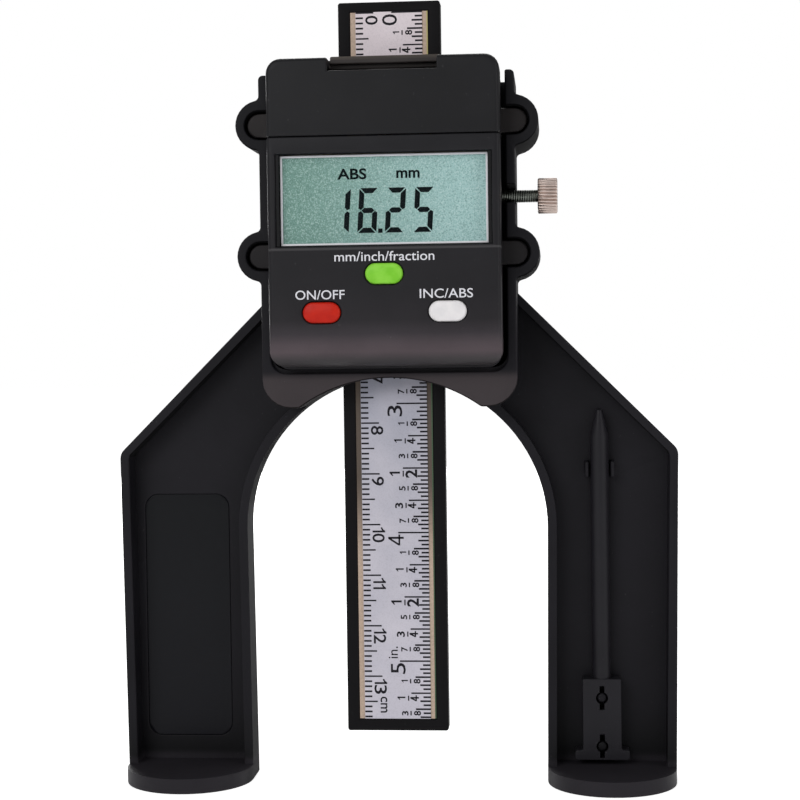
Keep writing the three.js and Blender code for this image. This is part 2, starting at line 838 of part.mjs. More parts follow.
function coverShell() {
  const outer = softPlate(
    rectangle(-coverHalfWidth, coverHalfWidth, coverBottom, coverTop, coverCornerRadius),
    headSplit - overrun, coverFront, coverEdgeRadius)
    .intersect(crossBar(coverProfile(0), -coverHalfWidth - overrun, coverHalfWidth + overrun));
  const hollow = plate(
    rectangle(-cavityHalfWidth, cavityHalfWidth, coverBottom + coverWall, coverTop - coverWall,
      coverCornerRadius - coverWall),
    headSplit - overrun * 2, coverInside)
    .intersect(crossBar(coverProfile(coverWall), -coverHalfWidth, coverHalfWidth));
  return outer.subtract(hollow);
}

function doorRegion(gap) {
  return block(-coverHalfWidth - overrun, coverHalfWidth + overrun, doorLine + gap, coverTop + overrun,
    railDepth + gap, coverFront + overrun);
}

function stadium(x, z, length, height) {
  return rectangle(x - length / 2, x + length / 2, z - height / 2, z + height / 2, height / 2);
}

function buttonPlaces() {
  return [
    { name: "green", look: green, x: 0, z: upperButtonZ },
    { name: "red", look: red, x: -lowerButtonX, z: lowerButtonZ },
    { name: "white", look: white, x: lowerButtonX, z: lowerButtonZ },
  ];
}

// Groove for the hook of the door's runner, and the way out through the top wall for the runner's leg
function runnerGroove() {
  const back = railDepth - hookDrop - hookThickness - doorGap;
  const hookWay = block(cavityHalfWidth - overrun, cavityHalfWidth + hookReach + doorGap,
    runnerLow() - doorGap * 2, coverTop + overrun, back, railDepth - hookDrop + doorGap);
  const legWay = block(cavityHalfWidth - runnerWidth - doorGap * 2, cavityHalfWidth,
    coverTop - coverWall - overrun, coverTop + overrun, back, railDepth + overrun);
  return join(hookWay, legWay);
}

function runnerLow() {
  return coverTop - coverWall - runnerLength;
}

function headCover() {
  const wall = block(-cavityHalfWidth - seatGap, cavityHalfWidth + seatGap, doorLine - coverWall, doorLine,
    headSplit, coverFront - coverWall / 2);
  const lip = block(-notchHalfWidth + doorGap, notchHalfWidth - doorGap, coverTop - coverWall,
    coverTop + lipRise, headSplit, railDepth);
  const bosses = casePlaces().map(([x, z], index) => {
    const top = index < 2 ? headSplit + caseBossDepth : railDepth + doorGap;
    const reach = Math.sign(x) * (cavityHalfWidth + seatGap);
    const web = block(Math.min(x, reach), Math.max(x, reach), z - caseBossRadius / 2, z + caseBossRadius / 2,
      headSplit, index < 2 ? top : railDepth);
    return join(pin(x, z, caseBossRadius, headSplit, top), web);
  });
  const window = block(-windowHalfWidth, windowHalfWidth, windowCentre - windowHalfHeight,
    windowCentre + windowHalfHeight, coverInside - overrun, coverFront + overrun);
  const buttonHoles = buttonPlaces().map(({ x, z }) =>
    plate(stadium(x, z, buttonLength + buttonGap * 2, buttonHeight + buttonGap * 2),
      coverInside - overrun, coverFront + overrun));
  const screwHoles = casePlaces().map(([x, z], index) =>
    pin(x, z, caseScrewShankRadius + screwGap, headSplit - overrun, caseScrewTip(index) + screwGap));
  const shell = join(coverShell().subtract(doorRegion(0)), wall, lip, ...bosses);
  const tailWay = block(-contactWidth, contactWidth, doorLine - coverWall - overrun, doorLine + overrun,
    headSplit - overrun, rearContactBack + contactThickness + contactRoom);
  const groove = runnerGroove();
  const fingerGroove = block(-notchHalfWidth + doorGap, notchHalfWidth - doorGap,
    coverTop - coverWall - overrun, coverTop - coverWall + lipGrooveHeight,
    railDepth - lipGrooveDepth, railDepth + overrun);
  const cover = cut(shell, window, ...buttonHoles, ...screwHoles, tailWay, groove, onOtherSide(groove),
    fingerGroove);
  return named("head_cover", charcoal, cover);
}

function batteryDoor() {
  const slab = coverShell().intersect(doorRegion(doorGap));
  const runners = [-1, 1].map((side) => {
    const outer = cavityHalfWidth - doorGap;
    const inner = outer - runnerWidth;
    const hook = cavityHalfWidth + hookReach;
    const back = railDepth - hookDrop - hookThickness;
    const low = runnerLow();
    const high = coverTop - coverWall - doorGap * 2;
    const leg = block(inner, outer, low, high, back, coverFront - coverWall / 2);
    const foot = block(inner, hook, low, high, back, railDepth - hookDrop);
    return side > 0 ? join(leg, foot) : onOtherSide(join(leg, foot));
  });
  const notch = block(-notchHalfWidth, notchHalfWidth, coverTop - notchDrop, coverTop + overrun,
    railDepth - overrun, coverFront + overrun);
  return named("battery_door", charcoal, cut(join(slab, ...runners), notch));
}

// Battery and its contacts

function coinCell() {
  const canBack = cellBack + cellThickness * cellStepShare;
  const solid = join(
    pin(0, cellZ, cellRadius, canBack, cellFront, rodSides * 2),
    pin(0, cellZ, cellRadius * cellStepRadiusShare, cellBack, canBack + seatGap, rodSides * 2),
  );
  return named("coin_cell", steel, solid);
}

function rearContact() {
  const front = rearContactBack + contactThickness;
  const disc = pin(0, cellZ, cellRadius * contactDiscShare, rearContactBack, front);
  const tail = block(-contactWidth / 2, contactWidth / 2, boardHigh + seatGap, cellZ, rearContactBack, front);
  return named("cell_contact_rear", steel, join(disc, tail));
}

function sideContact() {
  const near = cellRadius + seatGap;
  const back = bedFront + seatGap;
  const blade = block(near, near + contactThickness, cellZ - contactWidth / 2, cellZ + contactWidth / 2,
    back, back + cupDepth);
  const tail = block(near, near + cellGap + cupWall, cellZ - contactWidth / 2, cellZ + contactWidth / 2,
    back, back + contactThickness);
  return named("cell_contact_side", steel, join(blade, tail));
}

// Display: lens, white frame, liquid crystal panel and the rubber strips that feed it

// The window's outline, smaller by one inset at its sides and by another at its top and bottom
function windowRectangle(sideInset, endInset) {
  const across = windowHalfWidth - sideInset;
  const up = windowHalfHeight - endInset;
  return rectangle(-across, across, windowCentre - up, windowCentre + up);
}

function lcdRectangle(inset) {
  return windowRectangle(lcdSideGap + inset, lcdEndGap + inset);
}

const panelInset = lcdFrameSkirt + lcdGap;

function lcdLens() {
  const back = lcdFrameFront + seatGap;
  return named("lcd_lens", clear, plate(windowRectangle(lensGap, lensGap), back, back + lensThickness));
}

function lcdFrame() {
  const blank = plate(lcdRectangle(0), boardFront + seatGap, lcdFrameFront);
  const opening = plate(lcdRectangle(lcdFrameBorder), boardFront - overrun, coverFront);
  const pocket = plate(lcdRectangle(lcdFrameSkirt), boardFront - overrun, lcdFront + seatGap);
  return named("lcd_frame", white, cut(blank, opening, pocket));
}

function lcdPanel() {
  return named("lcd_panel", displayGreen, plate(lcdRectangle(panelInset), lcdBack, lcdFront));
}

function zebraStrips() {
  const half = windowHalfWidth - lcdSideGap - panelInset - zebraInset;
  const reach = windowHalfHeight - lcdEndGap - panelInset - zebraWidth;
  return [["upper", reach], ["lower", -reach - zebraWidth]].map(([name, rise]) =>
    named(`zebra_strip_${name}`, rubberGrey, block(-half, half,
      windowCentre + rise, windowCentre + rise + zebraWidth, boardFront + seatGap, lcdBack - seatGap)));
}

// Circuit boards and what is soldered to them

function displayBoard() {
  const blank = block(-boardHalfWidth, boardHalfWidth, boardLow, boardHigh, boardBack, boardFront);
  const holes = boardPostPlaces().map(([x, z]) =>
    pin(x, z, boardScrewShankRadius + screwGap, boardBack - overrun, boardFront + overrun));
  return named("display_board", boardGreen, cut(blank, ...holes));
}

function sensorBoard() {
  const blank = block(beamShift - sensorBoardHalfWidth, beamShift + sensorBoardHalfWidth,
    sensorCentre - sensorBoardHalfLength, sensorCentre + sensorBoardHalfLength,
    channelRoof, channelRoof + sensorBoardThickness);
  return named("sensor_board", boardGreen, blank);
}

function linkHeader() {
  const z = boardHigh - headerDrop - headerWidth;
  return named("link_header", black, block(-headerHalfWidth, headerHalfWidth, z, z + headerWidth,
    channelRoof + sensorBoardThickness + seatGap, boardBack - seatGap));
}

function controllerChip() {
  const right = boardHalfWidth - boardPostInset - boardPostRadius - chipGap;
  const shape = rectangle(right - chipSize, right, upperButtonZ - chipSize / 2, upperButtonZ + chipSize / 2);
  const front = boardBack - seatGap;
  return named("controller_chip", black, plate(shape, front - chipThickness, front));
}

// Buttons and switches

function pushButton({ name, look, x, z }) {
  const cap = softPlate(stadium(x, z, buttonLength, buttonHeight), flangeBack + buttonEdge,
    coverFront + buttonProud, buttonEdge);
  const flange = plate(stadium(x, z, buttonLength + buttonFlange * 2, buttonHeight + buttonFlange * 2),
    flangeBack, flangeFront);
  const stem = pin(x, z, stemRadius, switchFront - stemReach, flangeBack + seatGap);
  return named(`button_${name}`, look, join(cap, flange, stem));
}

function tactSwitch({ name, x, z }) {
  const half = switchSize / 2;
  const body = block(x - half, x + half, z - half, z + half, switchBack, switchFront);
  const hole = pin(x, z, stemRadius + screwGap, switchFront - stemReach - buttonTravel - screwGap,
    switchFront + overrun);
  return named(`switch_${name}`, rubberGrey, body.subtract(hole));
}

// Measuring beam

function scaleBeam() {
  const blank = plate(
    rectangle(beamLeft, beamRight, beamTipHeight, beamTipHeight + beamLength, beamEdgeRadius),
    beamBack, beamFront);
  const floor = scaleBoardBack() - seatGap;
  const recess = plate(scaleRectangle(scaleBoardHalfWidth, seatGap), floor, beamFront + overrun);
  return named("scale_beam", black, blank.subtract(recess));
}

function scaleBoardBack() {
  return beamFront - scaleLabelThickness - scaleBoardThickness - seatGap * 2;
}

// A strip along the beam between its two borders, a little larger all round by the gap
function scaleRectangle(halfWidth, gap) {
  return rectangle(beamShift - halfWidth - gap, beamShift + halfWidth + gap,
    beamTipHeight + beamLowBorder - gap, beamTipHeight + beamLength - beamHighBorder + gap);
}

function scaleBoard() {
  const back = scaleBoardBack();
  const shape = scaleRectangle(scaleBoardHalfWidth, 0);
  return named("scale_board", boardGreen, plate(shape, back, back + scaleBoardThickness));
}

function scaleLabel() {
  const back = scaleBoardBack() + scaleBoardThickness + seatGap;
  const shape = scaleRectangle(scaleBoardHalfWidth - scaleLabelInset, 0);
  return named("scale_label", labelSilver, plate(shape, back, back + scaleLabelThickness));
}

// Beam guide: a brass strip beside the beam, pressed by a bowed leaf spring

function gibStrip() {
  const half = gibLength / 2;
  return named("gib_strip", brass, block(gibBack, gibFace, sensorCentre - half, sensorCentre + half,
    beamBack, beamFront));
}

function gibSpring() {
  const half = gibLength / 2 - gibEndGap;
  const bow = gibSpringRoom - gibSpringThickness - seatGap * 2;
  const left = channelLeft + seatGap;
  const leftSide = [];
  for (let step = 0; step <= bowSteps; step += 1) {
    const along = 2 * step / bowSteps - 1;
    leftSide.push([left + bow * (1 - along ** 2), sensorCentre + half * along]);
  }
  const rightSide = leftSide.map(([x, z]) => [x + gibSpringThickness, z]).reverse();
  return named("gib_spring", steel, plate(outline([...leftSide, ...rightSide]), beamBack, beamFront));
}

// Beam lock: turning the knob drives the pad against the beam's edge

function lockPad() {
  return named("lock_pad", brass, block(channelRight, padEnd - seatGap,
    lockHeight - lockPadHalfHeight, lockHeight + lockPadHalfHeight, beamBack, beamFront));
}

function lockNut() {
  const right = lockNutLeft + lockNutLength;
  const body = block(lockNutLeft, right, lockHeight - lockNutHalfHeight, lockHeight + lockNutHalfHeight,
    channelFloor + seatGap, channelRoof - seatGap);
  const bore = shaft(lockDepth, lockHeight, lockShaftRadius + screwGap, lockNutLeft - overrun, right + overrun);
  return named("lock_nut", brass, body.subtract(bore));
}

function lockScrew() {
  const end = knobLeft + knobSocketDepth;
  return named("lock_screw", steel, shaft(lockDepth, lockHeight, lockShaftRadius, padEnd, end));
}

function lockKnob() {
  const points = [];
  for (let flute = 0; flute < knobFlutes; flute += 1) {
    const pitch = fullTurn / knobFlutes;
    fluteShares.forEach((share, index) => {
      const radius = index < 2 ? knobRadius : knobRadius - knobFluteDepth;
      const angle = (flute + share) * pitch;
      points.push([lockDepth + radius * Math.cos(angle), lockHeight + radius * Math.sin(angle)]);
    });
  }
  const body = crossBar(outline(points), knobLeft, knobLeft + knobLength);
  const socket = shaft(lockDepth, lockHeight, lockShaftRadius + seatGap, knobLeft - overrun,
    knobLeft + knobSocketDepth + seatGap);
  return named("lock_knob", steel, body.subtract(socket));
}

// Pointed depth probe, stored on two pegs in the right leg

function depthProbe() {
  const back = webThickness + probeGap;
  const front = back + probeBlockThickness;
  const middle = (back + front) / 2;
  const blockPlate = plate(outline([
    [probeCentre - probeFootHalfWidth, probeBase, probeFootHeight / 4],
    [probeCentre + probeFootHalfWidth, probeBase, probeFootHeight / 4],
    [probeCentre + probeFootHalfWidth, probeBase + probeFootHeight, probeFootHeight / 4],
    [probeCentre + probeBlockHalfWidth, probeBase + probeFootHeight, probeFootHeight / 4],
    [probeCentre + probeBlockHalfWidth, probeBlockTop],
    [probeCentre - probeBlockHalfWidth, probeBlockTop],
    [probeCentre - probeBlockHalfWidth, probeBase + probeFootHeight, probeFootHeight / 4],
    [probeCentre - probeFootHalfWidth, probeBase + probeFootHeight, probeFootHeight / 4],
  ]), back, front);
  const profile = [
    new THREE.Vector2(0, probeBlockTop - overrun),
    new THREE.Vector2(probeRodRadius, probeBlockTop - overrun),
    new THREE.Vector2(probeRodRadius, probeShoulder),
    new THREE.Vector2(probeTipRadius, probeTip - probeTipRadius / 2),
    new THREE.Vector2(0, probeTip),
  ];
  const rod = new THREE.LatheGeometry(profile, rodSides);
  rod.rotateX(quarterTurn);
  rod.translate(probeCentre, backPlane - middle, 0);
  const keyholes = [0, 1].flatMap((step) => {
    const z = probeBase + lowerPegRise + step * pegSpacing;
    const low = Math.max(z - keyholeSlotHalfLength, probeBase + probeFootHeight / 8);
    return [
      pin(probeCentre, z, keyholeRadius, back - overrun, front + overrun),
      block(probeCentre - keyholeSlotHalfWidth, probeCentre + keyholeSlotHalfWidth, low,
        z + keyholeSlotHalfLength, back - overrun, front + overrun),
    ];
  });
  return named("depth_probe", black, cut(join(blockPlate, solidOf(rod)), ...keyholes));
}

// Screws

function earScrews() {
  const seat = earBossDepth - earScrewGrip - seatGap;
  const tip = earBossDepth + earScrewBite;
  const places = [-1, 1].flatMap((side) => [upperEarHeight, lowerEarHeight].map((z) => [side * lugX, z]));
  return places.map(([x, z], index) => named(`ear_screw_${index + 1}`, steel, join(
    pin(x, z, earScrewHeadRadius, seat - earScrewHeadThickness, seat, screwSides),
    pin(x, z, earScrewShankRadius, seat - seatGap, tip, screwSides),
  )));
}

function caseScrewTip(index) {
  return index < 2 ? headSplit + caseScrewBite : railDepth - screwGap * 2;
}

function caseScrews() {
  return casePlaces().map(([x, z], index) => named(`case_screw_${index + 1}`, steel, join(
    pin(x, z, caseScrewHeadRadius, backPlateBack, backPlateBack + caseScrewHeadThickness, screwSides),
    pin(x, z, caseScrewShankRadius, backPlateBack + seatGap, caseScrewTip(index), screwSides),
  )));
}

function boardScrews() {
  const seat = boardFront + seatGap;
  return boardPostPlaces().map(([x, z], index) => named(`board_screw_${index + 1}`, steel, join(
    pin(x, z, boardScrewHeadRadius, seat, seat + boardScrewHeadThickness, screwSides),
    pin(x, z, boardScrewShankRadius, boardBack - boardScrewBite, seat + seatGap, screwSides),
  )));
}

function group(...meshes) {
  const holder = new THREE.Group();
  holder.add(...meshes);
  return holder;
}

const gauge = group(
  group(standFrame(), namePlate(), ...footMagnets(), ...earScrews()),
  group(headHousing(), headBackPlate(), headCover(), batteryDoor(), ...caseScrews()),
  group(coinCell(), rearContact(), sideContact()),
  group(lcdLens(), lcdFrame(), lcdPanel(), ...zebraStrips()),
  group(displayBoard(), sensorBoard(), linkHeader(), controllerChip(), ...boardScrews()),
  group(...buttonPlaces().map(pushButton), ...buttonPlaces().map(tactSwitch)),
  group(scaleBeam(), scaleBoard(), scaleLabel()),
  group(gibStrip(), gibSpring(), lockPad(), lockNut(), lockScrew(), lockKnob()),
  group(depthProbe()),
);

export default gauge;
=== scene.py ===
"""Looks of a digital depth gauge: softened mouldings, print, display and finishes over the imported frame.

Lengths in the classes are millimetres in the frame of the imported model: X to the right, Z up, and the
viewer on the -Y side. They become metres where a mesh is made.
"""
import json
import logging
import math
from contextlib import contextmanager
from dataclasses import dataclass
from enum import Enum
from typing import Any, Callable, Iterator, Sequence

import bmesh
import bpy
import numpy as np
from mathutils import Matrix, Vector
from mathutils.geometry import delaunay_2d_cdt

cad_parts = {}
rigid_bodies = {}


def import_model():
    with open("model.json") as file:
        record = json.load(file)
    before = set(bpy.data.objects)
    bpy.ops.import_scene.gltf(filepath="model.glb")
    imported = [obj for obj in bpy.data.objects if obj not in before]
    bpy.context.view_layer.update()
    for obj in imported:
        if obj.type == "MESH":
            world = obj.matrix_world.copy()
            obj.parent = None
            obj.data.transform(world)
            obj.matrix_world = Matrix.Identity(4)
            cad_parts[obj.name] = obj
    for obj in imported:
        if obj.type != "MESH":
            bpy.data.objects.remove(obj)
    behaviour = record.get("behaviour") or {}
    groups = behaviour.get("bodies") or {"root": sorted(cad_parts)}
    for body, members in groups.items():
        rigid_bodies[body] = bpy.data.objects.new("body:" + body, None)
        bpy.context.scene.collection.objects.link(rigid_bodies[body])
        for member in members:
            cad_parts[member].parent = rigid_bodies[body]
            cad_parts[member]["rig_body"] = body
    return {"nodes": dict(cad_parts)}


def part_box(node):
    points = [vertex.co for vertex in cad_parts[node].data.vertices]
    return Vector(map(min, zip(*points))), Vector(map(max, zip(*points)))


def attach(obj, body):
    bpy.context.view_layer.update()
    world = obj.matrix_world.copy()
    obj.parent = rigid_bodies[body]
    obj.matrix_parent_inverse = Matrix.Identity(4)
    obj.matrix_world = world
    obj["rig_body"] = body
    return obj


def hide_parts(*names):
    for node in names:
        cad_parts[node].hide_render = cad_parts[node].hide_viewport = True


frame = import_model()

LOG = logging.getLogger("depth_gauge")
MM = 0.001
IMAGE_SIDE = 800
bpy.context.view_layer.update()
Colour = tuple[float, float, float]


class Facing(Enum):
    """The way in which a line of print runs, as (along, up) directions in the X and Z plane."""

    LEVEL = ((1.0, 0.0), (0.0, 1.0))
    DOWNWARDS = ((0.0, -1.0), (1.0, 0.0))
    UPWARDS = ((0.0, 1.0), (-1.0, 0.0))


class Segment(Enum):
    """The seven bars of a display digit."""

    TOP = "a"
    UPPER_RIGHT = "b"
    LOWER_RIGHT = "c"
    BOTTOM = "d"
    LOWER_LEFT = "e"
    UPPER_LEFT = "f"
    MIDDLE = "g"


def linear(red: float, green: float, blue: float) -> Colour:
    """Turns a screen colour into the linear colour that a shader takes.

    Args:
        red: Red from 0 to 255.
        green: Green from 0 to 255.
        blue: Blue from 0 to 255.

    Returns:
        The three linear values, each by the sRGB curve ((c + 0.055) / 1.055) to the power 2.4.
    """
    def bend(value: float) -> float:
        """Bends one channel."""
        share = value / 255
        return share / 12.92 if share <= 0.04045 else ((share + 0.055) / 1.055) ** 2.4
    return (bend(red), bend(green), bend(blue))


def corners(node: str) -> tuple[np.ndarray, np.ndarray]:
    """Gives the lowest and highest corner of a node of the frame.

    Args:
        node: The node's name.

    Returns:
        Two arrays of X, Y and Z in millimetres.
    """
    low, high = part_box(node)
    return np.array(low) / MM, np.array(high) / MM


def shaded(colour: Colour, factor: float) -> Colour:
    """Makes a colour darker or, up to white, paler by a factor."""
    red, green, blue = (min(1.0, value * factor) for value in colour)
    return (red, green, blue)


def circle(count: int, start: float = 0.0) -> np.ndarray:
    """Gives count angles spread evenly over a turn, of which the first is start steps on from zero."""
    return (np.arange(count) + start) / count * 2 * math.pi


def linked(name: str, data: Any) -> bpy.types.Object:
    """Makes an object and links it to the scene."""
    made = bpy.data.objects.new(name, data)
    bpy.context.scene.collection.objects.link(made)
    return made


def evaluated(carrier: bpy.types.Object) -> bpy.types.Mesh:
    """Gives the mesh that an object's modifiers or letters make, and removes the object."""
    bpy.context.view_layer.update()
    mesh = bpy.data.meshes.new_from_object(carrier.evaluated_get(bpy.context.evaluated_depsgraph_get()))
    bpy.data.objects.remove(carrier)
    return mesh


@contextmanager
def edited(mesh: bpy.types.Mesh) -> Iterator[Any]:
    """Opens a mesh for changes to its points, edges and faces, and writes them back."""
    grown = bmesh.new()
    grown.from_mesh(mesh)
    yield grown
    grown.to_mesh(mesh)
    grown.free()


class Wire:
    """A number on its way through a node tree, on which arithmetic adds Math nodes."""

    def __init__(self, graph: "Graph", socket: bpy.types.NodeSocket) -> None:
        """Wraps a socket of the graph."""
        self.graph = graph
        self.socket = socket

    def maths(self, operation: str, *values: Any) -> "Wire":
        """Adds one Math node.

        Args:
            operation: The node's operation.
            values: The node's inputs in order, numbers or wires.

        Returns:
            The node's result.
        """
        return self.graph.node("ShaderNodeMath", {"operation": operation}, dict(enumerate(values)))

    def __add__(self, other: Any) -> "Wire":
        """Adds a number or wire."""
        return self.maths("ADD", self, other)

    def __sub__(self, other: Any) -> "Wire":
        """Takes away a number or wire."""
        return self.maths("SUBTRACT", self, other)

    def __mul__(self, other: Any) -> "Wire":
        """Multiplies by a number or wire."""
        return self.maths("MULTIPLY", self, other)

    def __truediv__(self, other: Any) -> "Wire":
        """Divides by a number or wire."""
        return self.maths("DIVIDE", self, other)

    def __radd__(self, other: Any) -> "Wire":
        """Is added to a number."""
        return self.maths("ADD", other, self)

    def __rsub__(self, other: Any) -> "Wire":
        """Is taken away from a number."""
        return self.maths("SUBTRACT", other, self)

    def __rmul__(self, other: Any) -> "Wire":
        """Is multiplied by a number."""
        return self.maths("MULTIPLY", other, self)

    def __abs__(self) -> "Wire":
        """Gives the size without the sign."""
        return self.maths("ABSOLUTE", self)

    def step(self, low: float, high: float) -> "Wire":
        """Rises smoothly from 0 at low to 1 at high, or falls where low is the greater."""
        if low > high:
            return 1 - self.step(high, low)
        return self.graph.node("ShaderNodeMapRange", {"interpolation_type": "SMOOTHSTEP"},
                               {0: self, 1: low, 2: high, 3: 0.0, 4: 1.0})


class Graph:
    """The node tree of one material, filled by calls."""

    def __init__(self, tree: bpy.types.NodeTree) -> None:
        """Starts from an empty tree."""
        self.tree = tree
        tree.nodes.clear()

    def node(self, kind: str, settings: dict[str, Any] | None = None,
             inputs: dict[Any, Any] | None = None, result: Any = 0) -> Wire:
        """Adds a node.

        Args:
            kind: The node's type.
            settings: Properties of the node, set before its sockets. "stops" is a ramp's list of
                (place, colour) pairs.
            inputs: Values or wires by socket name or number.
            result: The name or number of the output that is handed on.

        Returns:
            A wire from that output.
        """
        made = self.tree.nodes.new(kind)
        for name, value in (settings or {}).items():
            if name == "stops":
                ramp = made.color_ramp
                while len(ramp.elements) < len(value):
                    ramp.elements.new(0.5)
                for element, (place, colour) in zip(ramp.elements, value):
                    element.position = place
                    element.color = (*colour, 1.0)
            else:
                setattr(made, name, value)
        for name, value in (inputs or {}).items():
            socket = made.inputs[name]
            if isinstance(value, Wire):
                self.tree.links.new(value.socket, socket)
            elif isinstance(value, tuple) and len(value) == 3 and socket.type == "RGBA":
                socket.default_value = (*value, 1.0)
            else:
                socket.default_value = value
        return Wire(self, made.outputs[result])

    def place(self, scale: Sequence[float] = (1.0, 1.0, 1.0)) -> Wire:
        """Gives the object coordinates, stretched by a scale for each axis."""
        spot = self.node("ShaderNodeTexCoord", result="Object")
        return self.node("ShaderNodeVectorMath", {"operation": "MULTIPLY"}, {0: spot, 1: tuple(scale)})

    def axes(self) -> tuple[Wire, Wire, Wire]:
        """Gives the object's X, Y and Z in millimetres as three numbers."""
        return self.split(self.place((1 / MM, 1 / MM, 1 / MM)))

    def facing(self) -> tuple[Wire, Wire, Wire]:
        """Gives the X, Y and Z of the object's own normal as three numbers."""
        return self.split(self.node("ShaderNodeTexCoord", result="Normal"))

    def split(self, vector: Wire) -> tuple[Wire, Wire, Wire]:
        """Takes a vector apart into its three numbers."""
        outputs = self.node("ShaderNodeSeparateXYZ", None, {0: vector}).socket.node.outputs
        return Wire(self, outputs[0]), Wire(self, outputs[1]), Wire(self, outputs[2])

    def noise(self, pitch: float, detail: float = 3.0, stretch: Sequence[float] = (1.0, 1.0, 1.0)) -> Wire:
        """Gives a noise.

        Args:
            pitch: The size of its lumps in millimetres.
            detail: Its finer layers.
            stretch: A factor on the pattern's frequency along each axis.

        Returns:
            A number round 0.5.
        """
        return self.node("ShaderNodeTexNoise", None,
                         {"Vector": self.place(stretch), "Scale": 1 / (pitch * MM), "Detail": detail})

    def mix(self, share: Any, first: Any, second: Any, blend: str = "MIX") -> Wire:
        """Mixes two colours.

        Args:
            share: The second colour's share, a number or wire.
            first: A colour or a wire.
            second: A colour or a wire.
            blend: The way of blending.

        Returns:
            The mixed colour.
        """
        return self.node("ShaderNodeMix", {"data_type": "RGBA", "blend_type": blend},
                         {0: share, 6: first, 7: second}, 2)

    def bump(self, height: Wire, depth: float, strength: float = 1.0, after: Wire | None = None) -> Wire:
        """Turns a height from 0 to 1 into a normal.

        Args:
            height: The height.
            depth: What a height of 1 stands for, in millimetres.
            strength: The bump's share.
            after: A normal that this one is laid over.

        Returns:
            The normal.
        """
        inputs: dict[Any, Any] = {"Strength": strength, "Distance": depth * MM, "Height": height}
        if after is not None:
            inputs["Normal"] = after
        return self.node("ShaderNodeBump", None, inputs)

    def surface(self, **sockets: Any) -> None:
        """Ends the tree in one Principled shader, whose sockets are named with underscores for spaces."""
        inputs = {name.replace("_", " "): value for name, value in sockets.items()}
        shader = self.node("ShaderNodeBsdfPrincipled", None, inputs)
        self.node_output(shader)

    def node_output(self, shader: Wire) -> None:
        """Connects a shader to the material's surface."""
        out = self.tree.nodes.new("ShaderNodeOutputMaterial")
        self.tree.links.new(shader.socket, out.inputs["Surface"])


class Finish:
    """What every finish has: a name, and a material made from its graph once."""

    name: str

    def dress(self, graph: Graph) -> None:
        """Fills the material's graph."""
        raise NotImplementedError

    def material(self) -> bpy.types.Material:
        """Makes the material, or gives the one made before."""
        known = bpy.data.materials.get(self.name)
        if known is not None:
            return known
        made = bpy.data.materials.new(self.name)
        made.use_nodes = True
        self.dress(Graph(made.node_tree))
        return made


@dataclass(frozen=True)
class Moulded(Finish):
    """Moulded plastic with a spark-eroded grain, slight mottling and a few pale rubbed specks.

    Attributes:
        name: The material's name.
        colour: Its colour.
        roughness: Its roughness.
        grain: The grain's strength.
        pitch: The grain's size in millimetres.
        specks: The share of the rubbed specks.
        gloss: The specular level.
        line: The height of a faint raised line, painted paler along it as a highlight, or None.
        wear: (height, colour) pairs of painted light and shade, between which the colour drifts upwards, or
            none.
    """

    name: str
    colour: Colour
    roughness: float = 0.5
    grain: float = 0.35
    pitch: float = 0.28
    specks: float = 0.06
    gloss: float = 0.1
    line: float | None = None
    wear: tuple[tuple[float, Colour], ...] = ()

    CLOUD_PITCH = 14.0
    CLOUD_RANGE = (0.3, 0.7)
    CLOUD_SHARE = 0.6
    DEEPER = (0.82, 0.82, 0.82)
    PALER = (1.2, 1.2, 1.2)
    SPECK_PITCH = 0.9
    SPECK_RANGE = (0.68, 0.8)
    # Pale colour of the rubbed specks, and of the painted highlight along the raised line.
    RUBBED = linear(150, 148, 150)
    GRAIN_DEPTH = 0.02
    LINE_SIDES = (0.34, 0.05)
    LINE_SHARE = 0.12
    LINE_DEPTH = 0.06
    LINE_STRENGTH = 0.8
    UNEVEN = 0.06
    EVENED = 0.05
    DIRT_ROUGHNESS = 0.5

    def tint(self, graph: Graph) -> Any:
        """Gives the colour before its mottling: plain, or drifting with the height as painted light and
        shade.
        """
        if not self.wear:
            return self.colour
        low, high = self.wear[0][0], self.wear[-1][0]
        share = (graph.axes()[2] - low) / (high - low)
        stops = [((height - low) / (high - low), colour) for height, colour in self.wear]
        return graph.node("ShaderNodeValToRGB", {"stops": stops}, {0: share})

    def dirt(self, graph: Graph) -> Any:
        """Gives the share of painted shade, which also raises the roughness: none on most mouldings."""
        return 0.0

    def dress(self, graph: Graph) -> None:
        """Mottles the tint with two noises, and raises the grain from one of them."""
        broad = graph.noise(self.CLOUD_PITCH)
        fine = graph.noise(self.pitch)
        cloud = broad.step(*self.CLOUD_RANGE) * self.CLOUD_SHARE + fine * (1 - self.CLOUD_SHARE)
        body = graph.mix(1.0, self.tint(graph), graph.mix(cloud, self.DEEPER, self.PALER), "MULTIPLY")
        rubbed = graph.noise(self.SPECK_PITCH, 4.0).step(*self.SPECK_RANGE) * self.specks
        body = graph.mix(rubbed, body, self.RUBBED)
        normal = graph.bump(fine, self.GRAIN_DEPTH, self.grain)
        if self.line is not None:
            # The ridge is painted paler as well: a painted highlight along the raised line.
            ridge = abs(graph.axes()[2] - self.line).step(*self.LINE_SIDES)
            body = graph.mix(ridge * self.LINE_SHARE, body, self.RUBBED)
            normal = graph.bump(ridge, self.LINE_DEPTH, self.LINE_STRENGTH, normal)
        # Where painted shade lies, the roughness is raised as well.
        rough = (self.roughness - self.EVENED + fine * self.UNEVEN + broad * self.UNEVEN
                 + self.dirt(graph) * self.DIRT_ROUGHNESS)
        graph.surface(Base_Color=body, Roughness=rough, Normal=normal, Specular_IOR_Level=self.gloss)


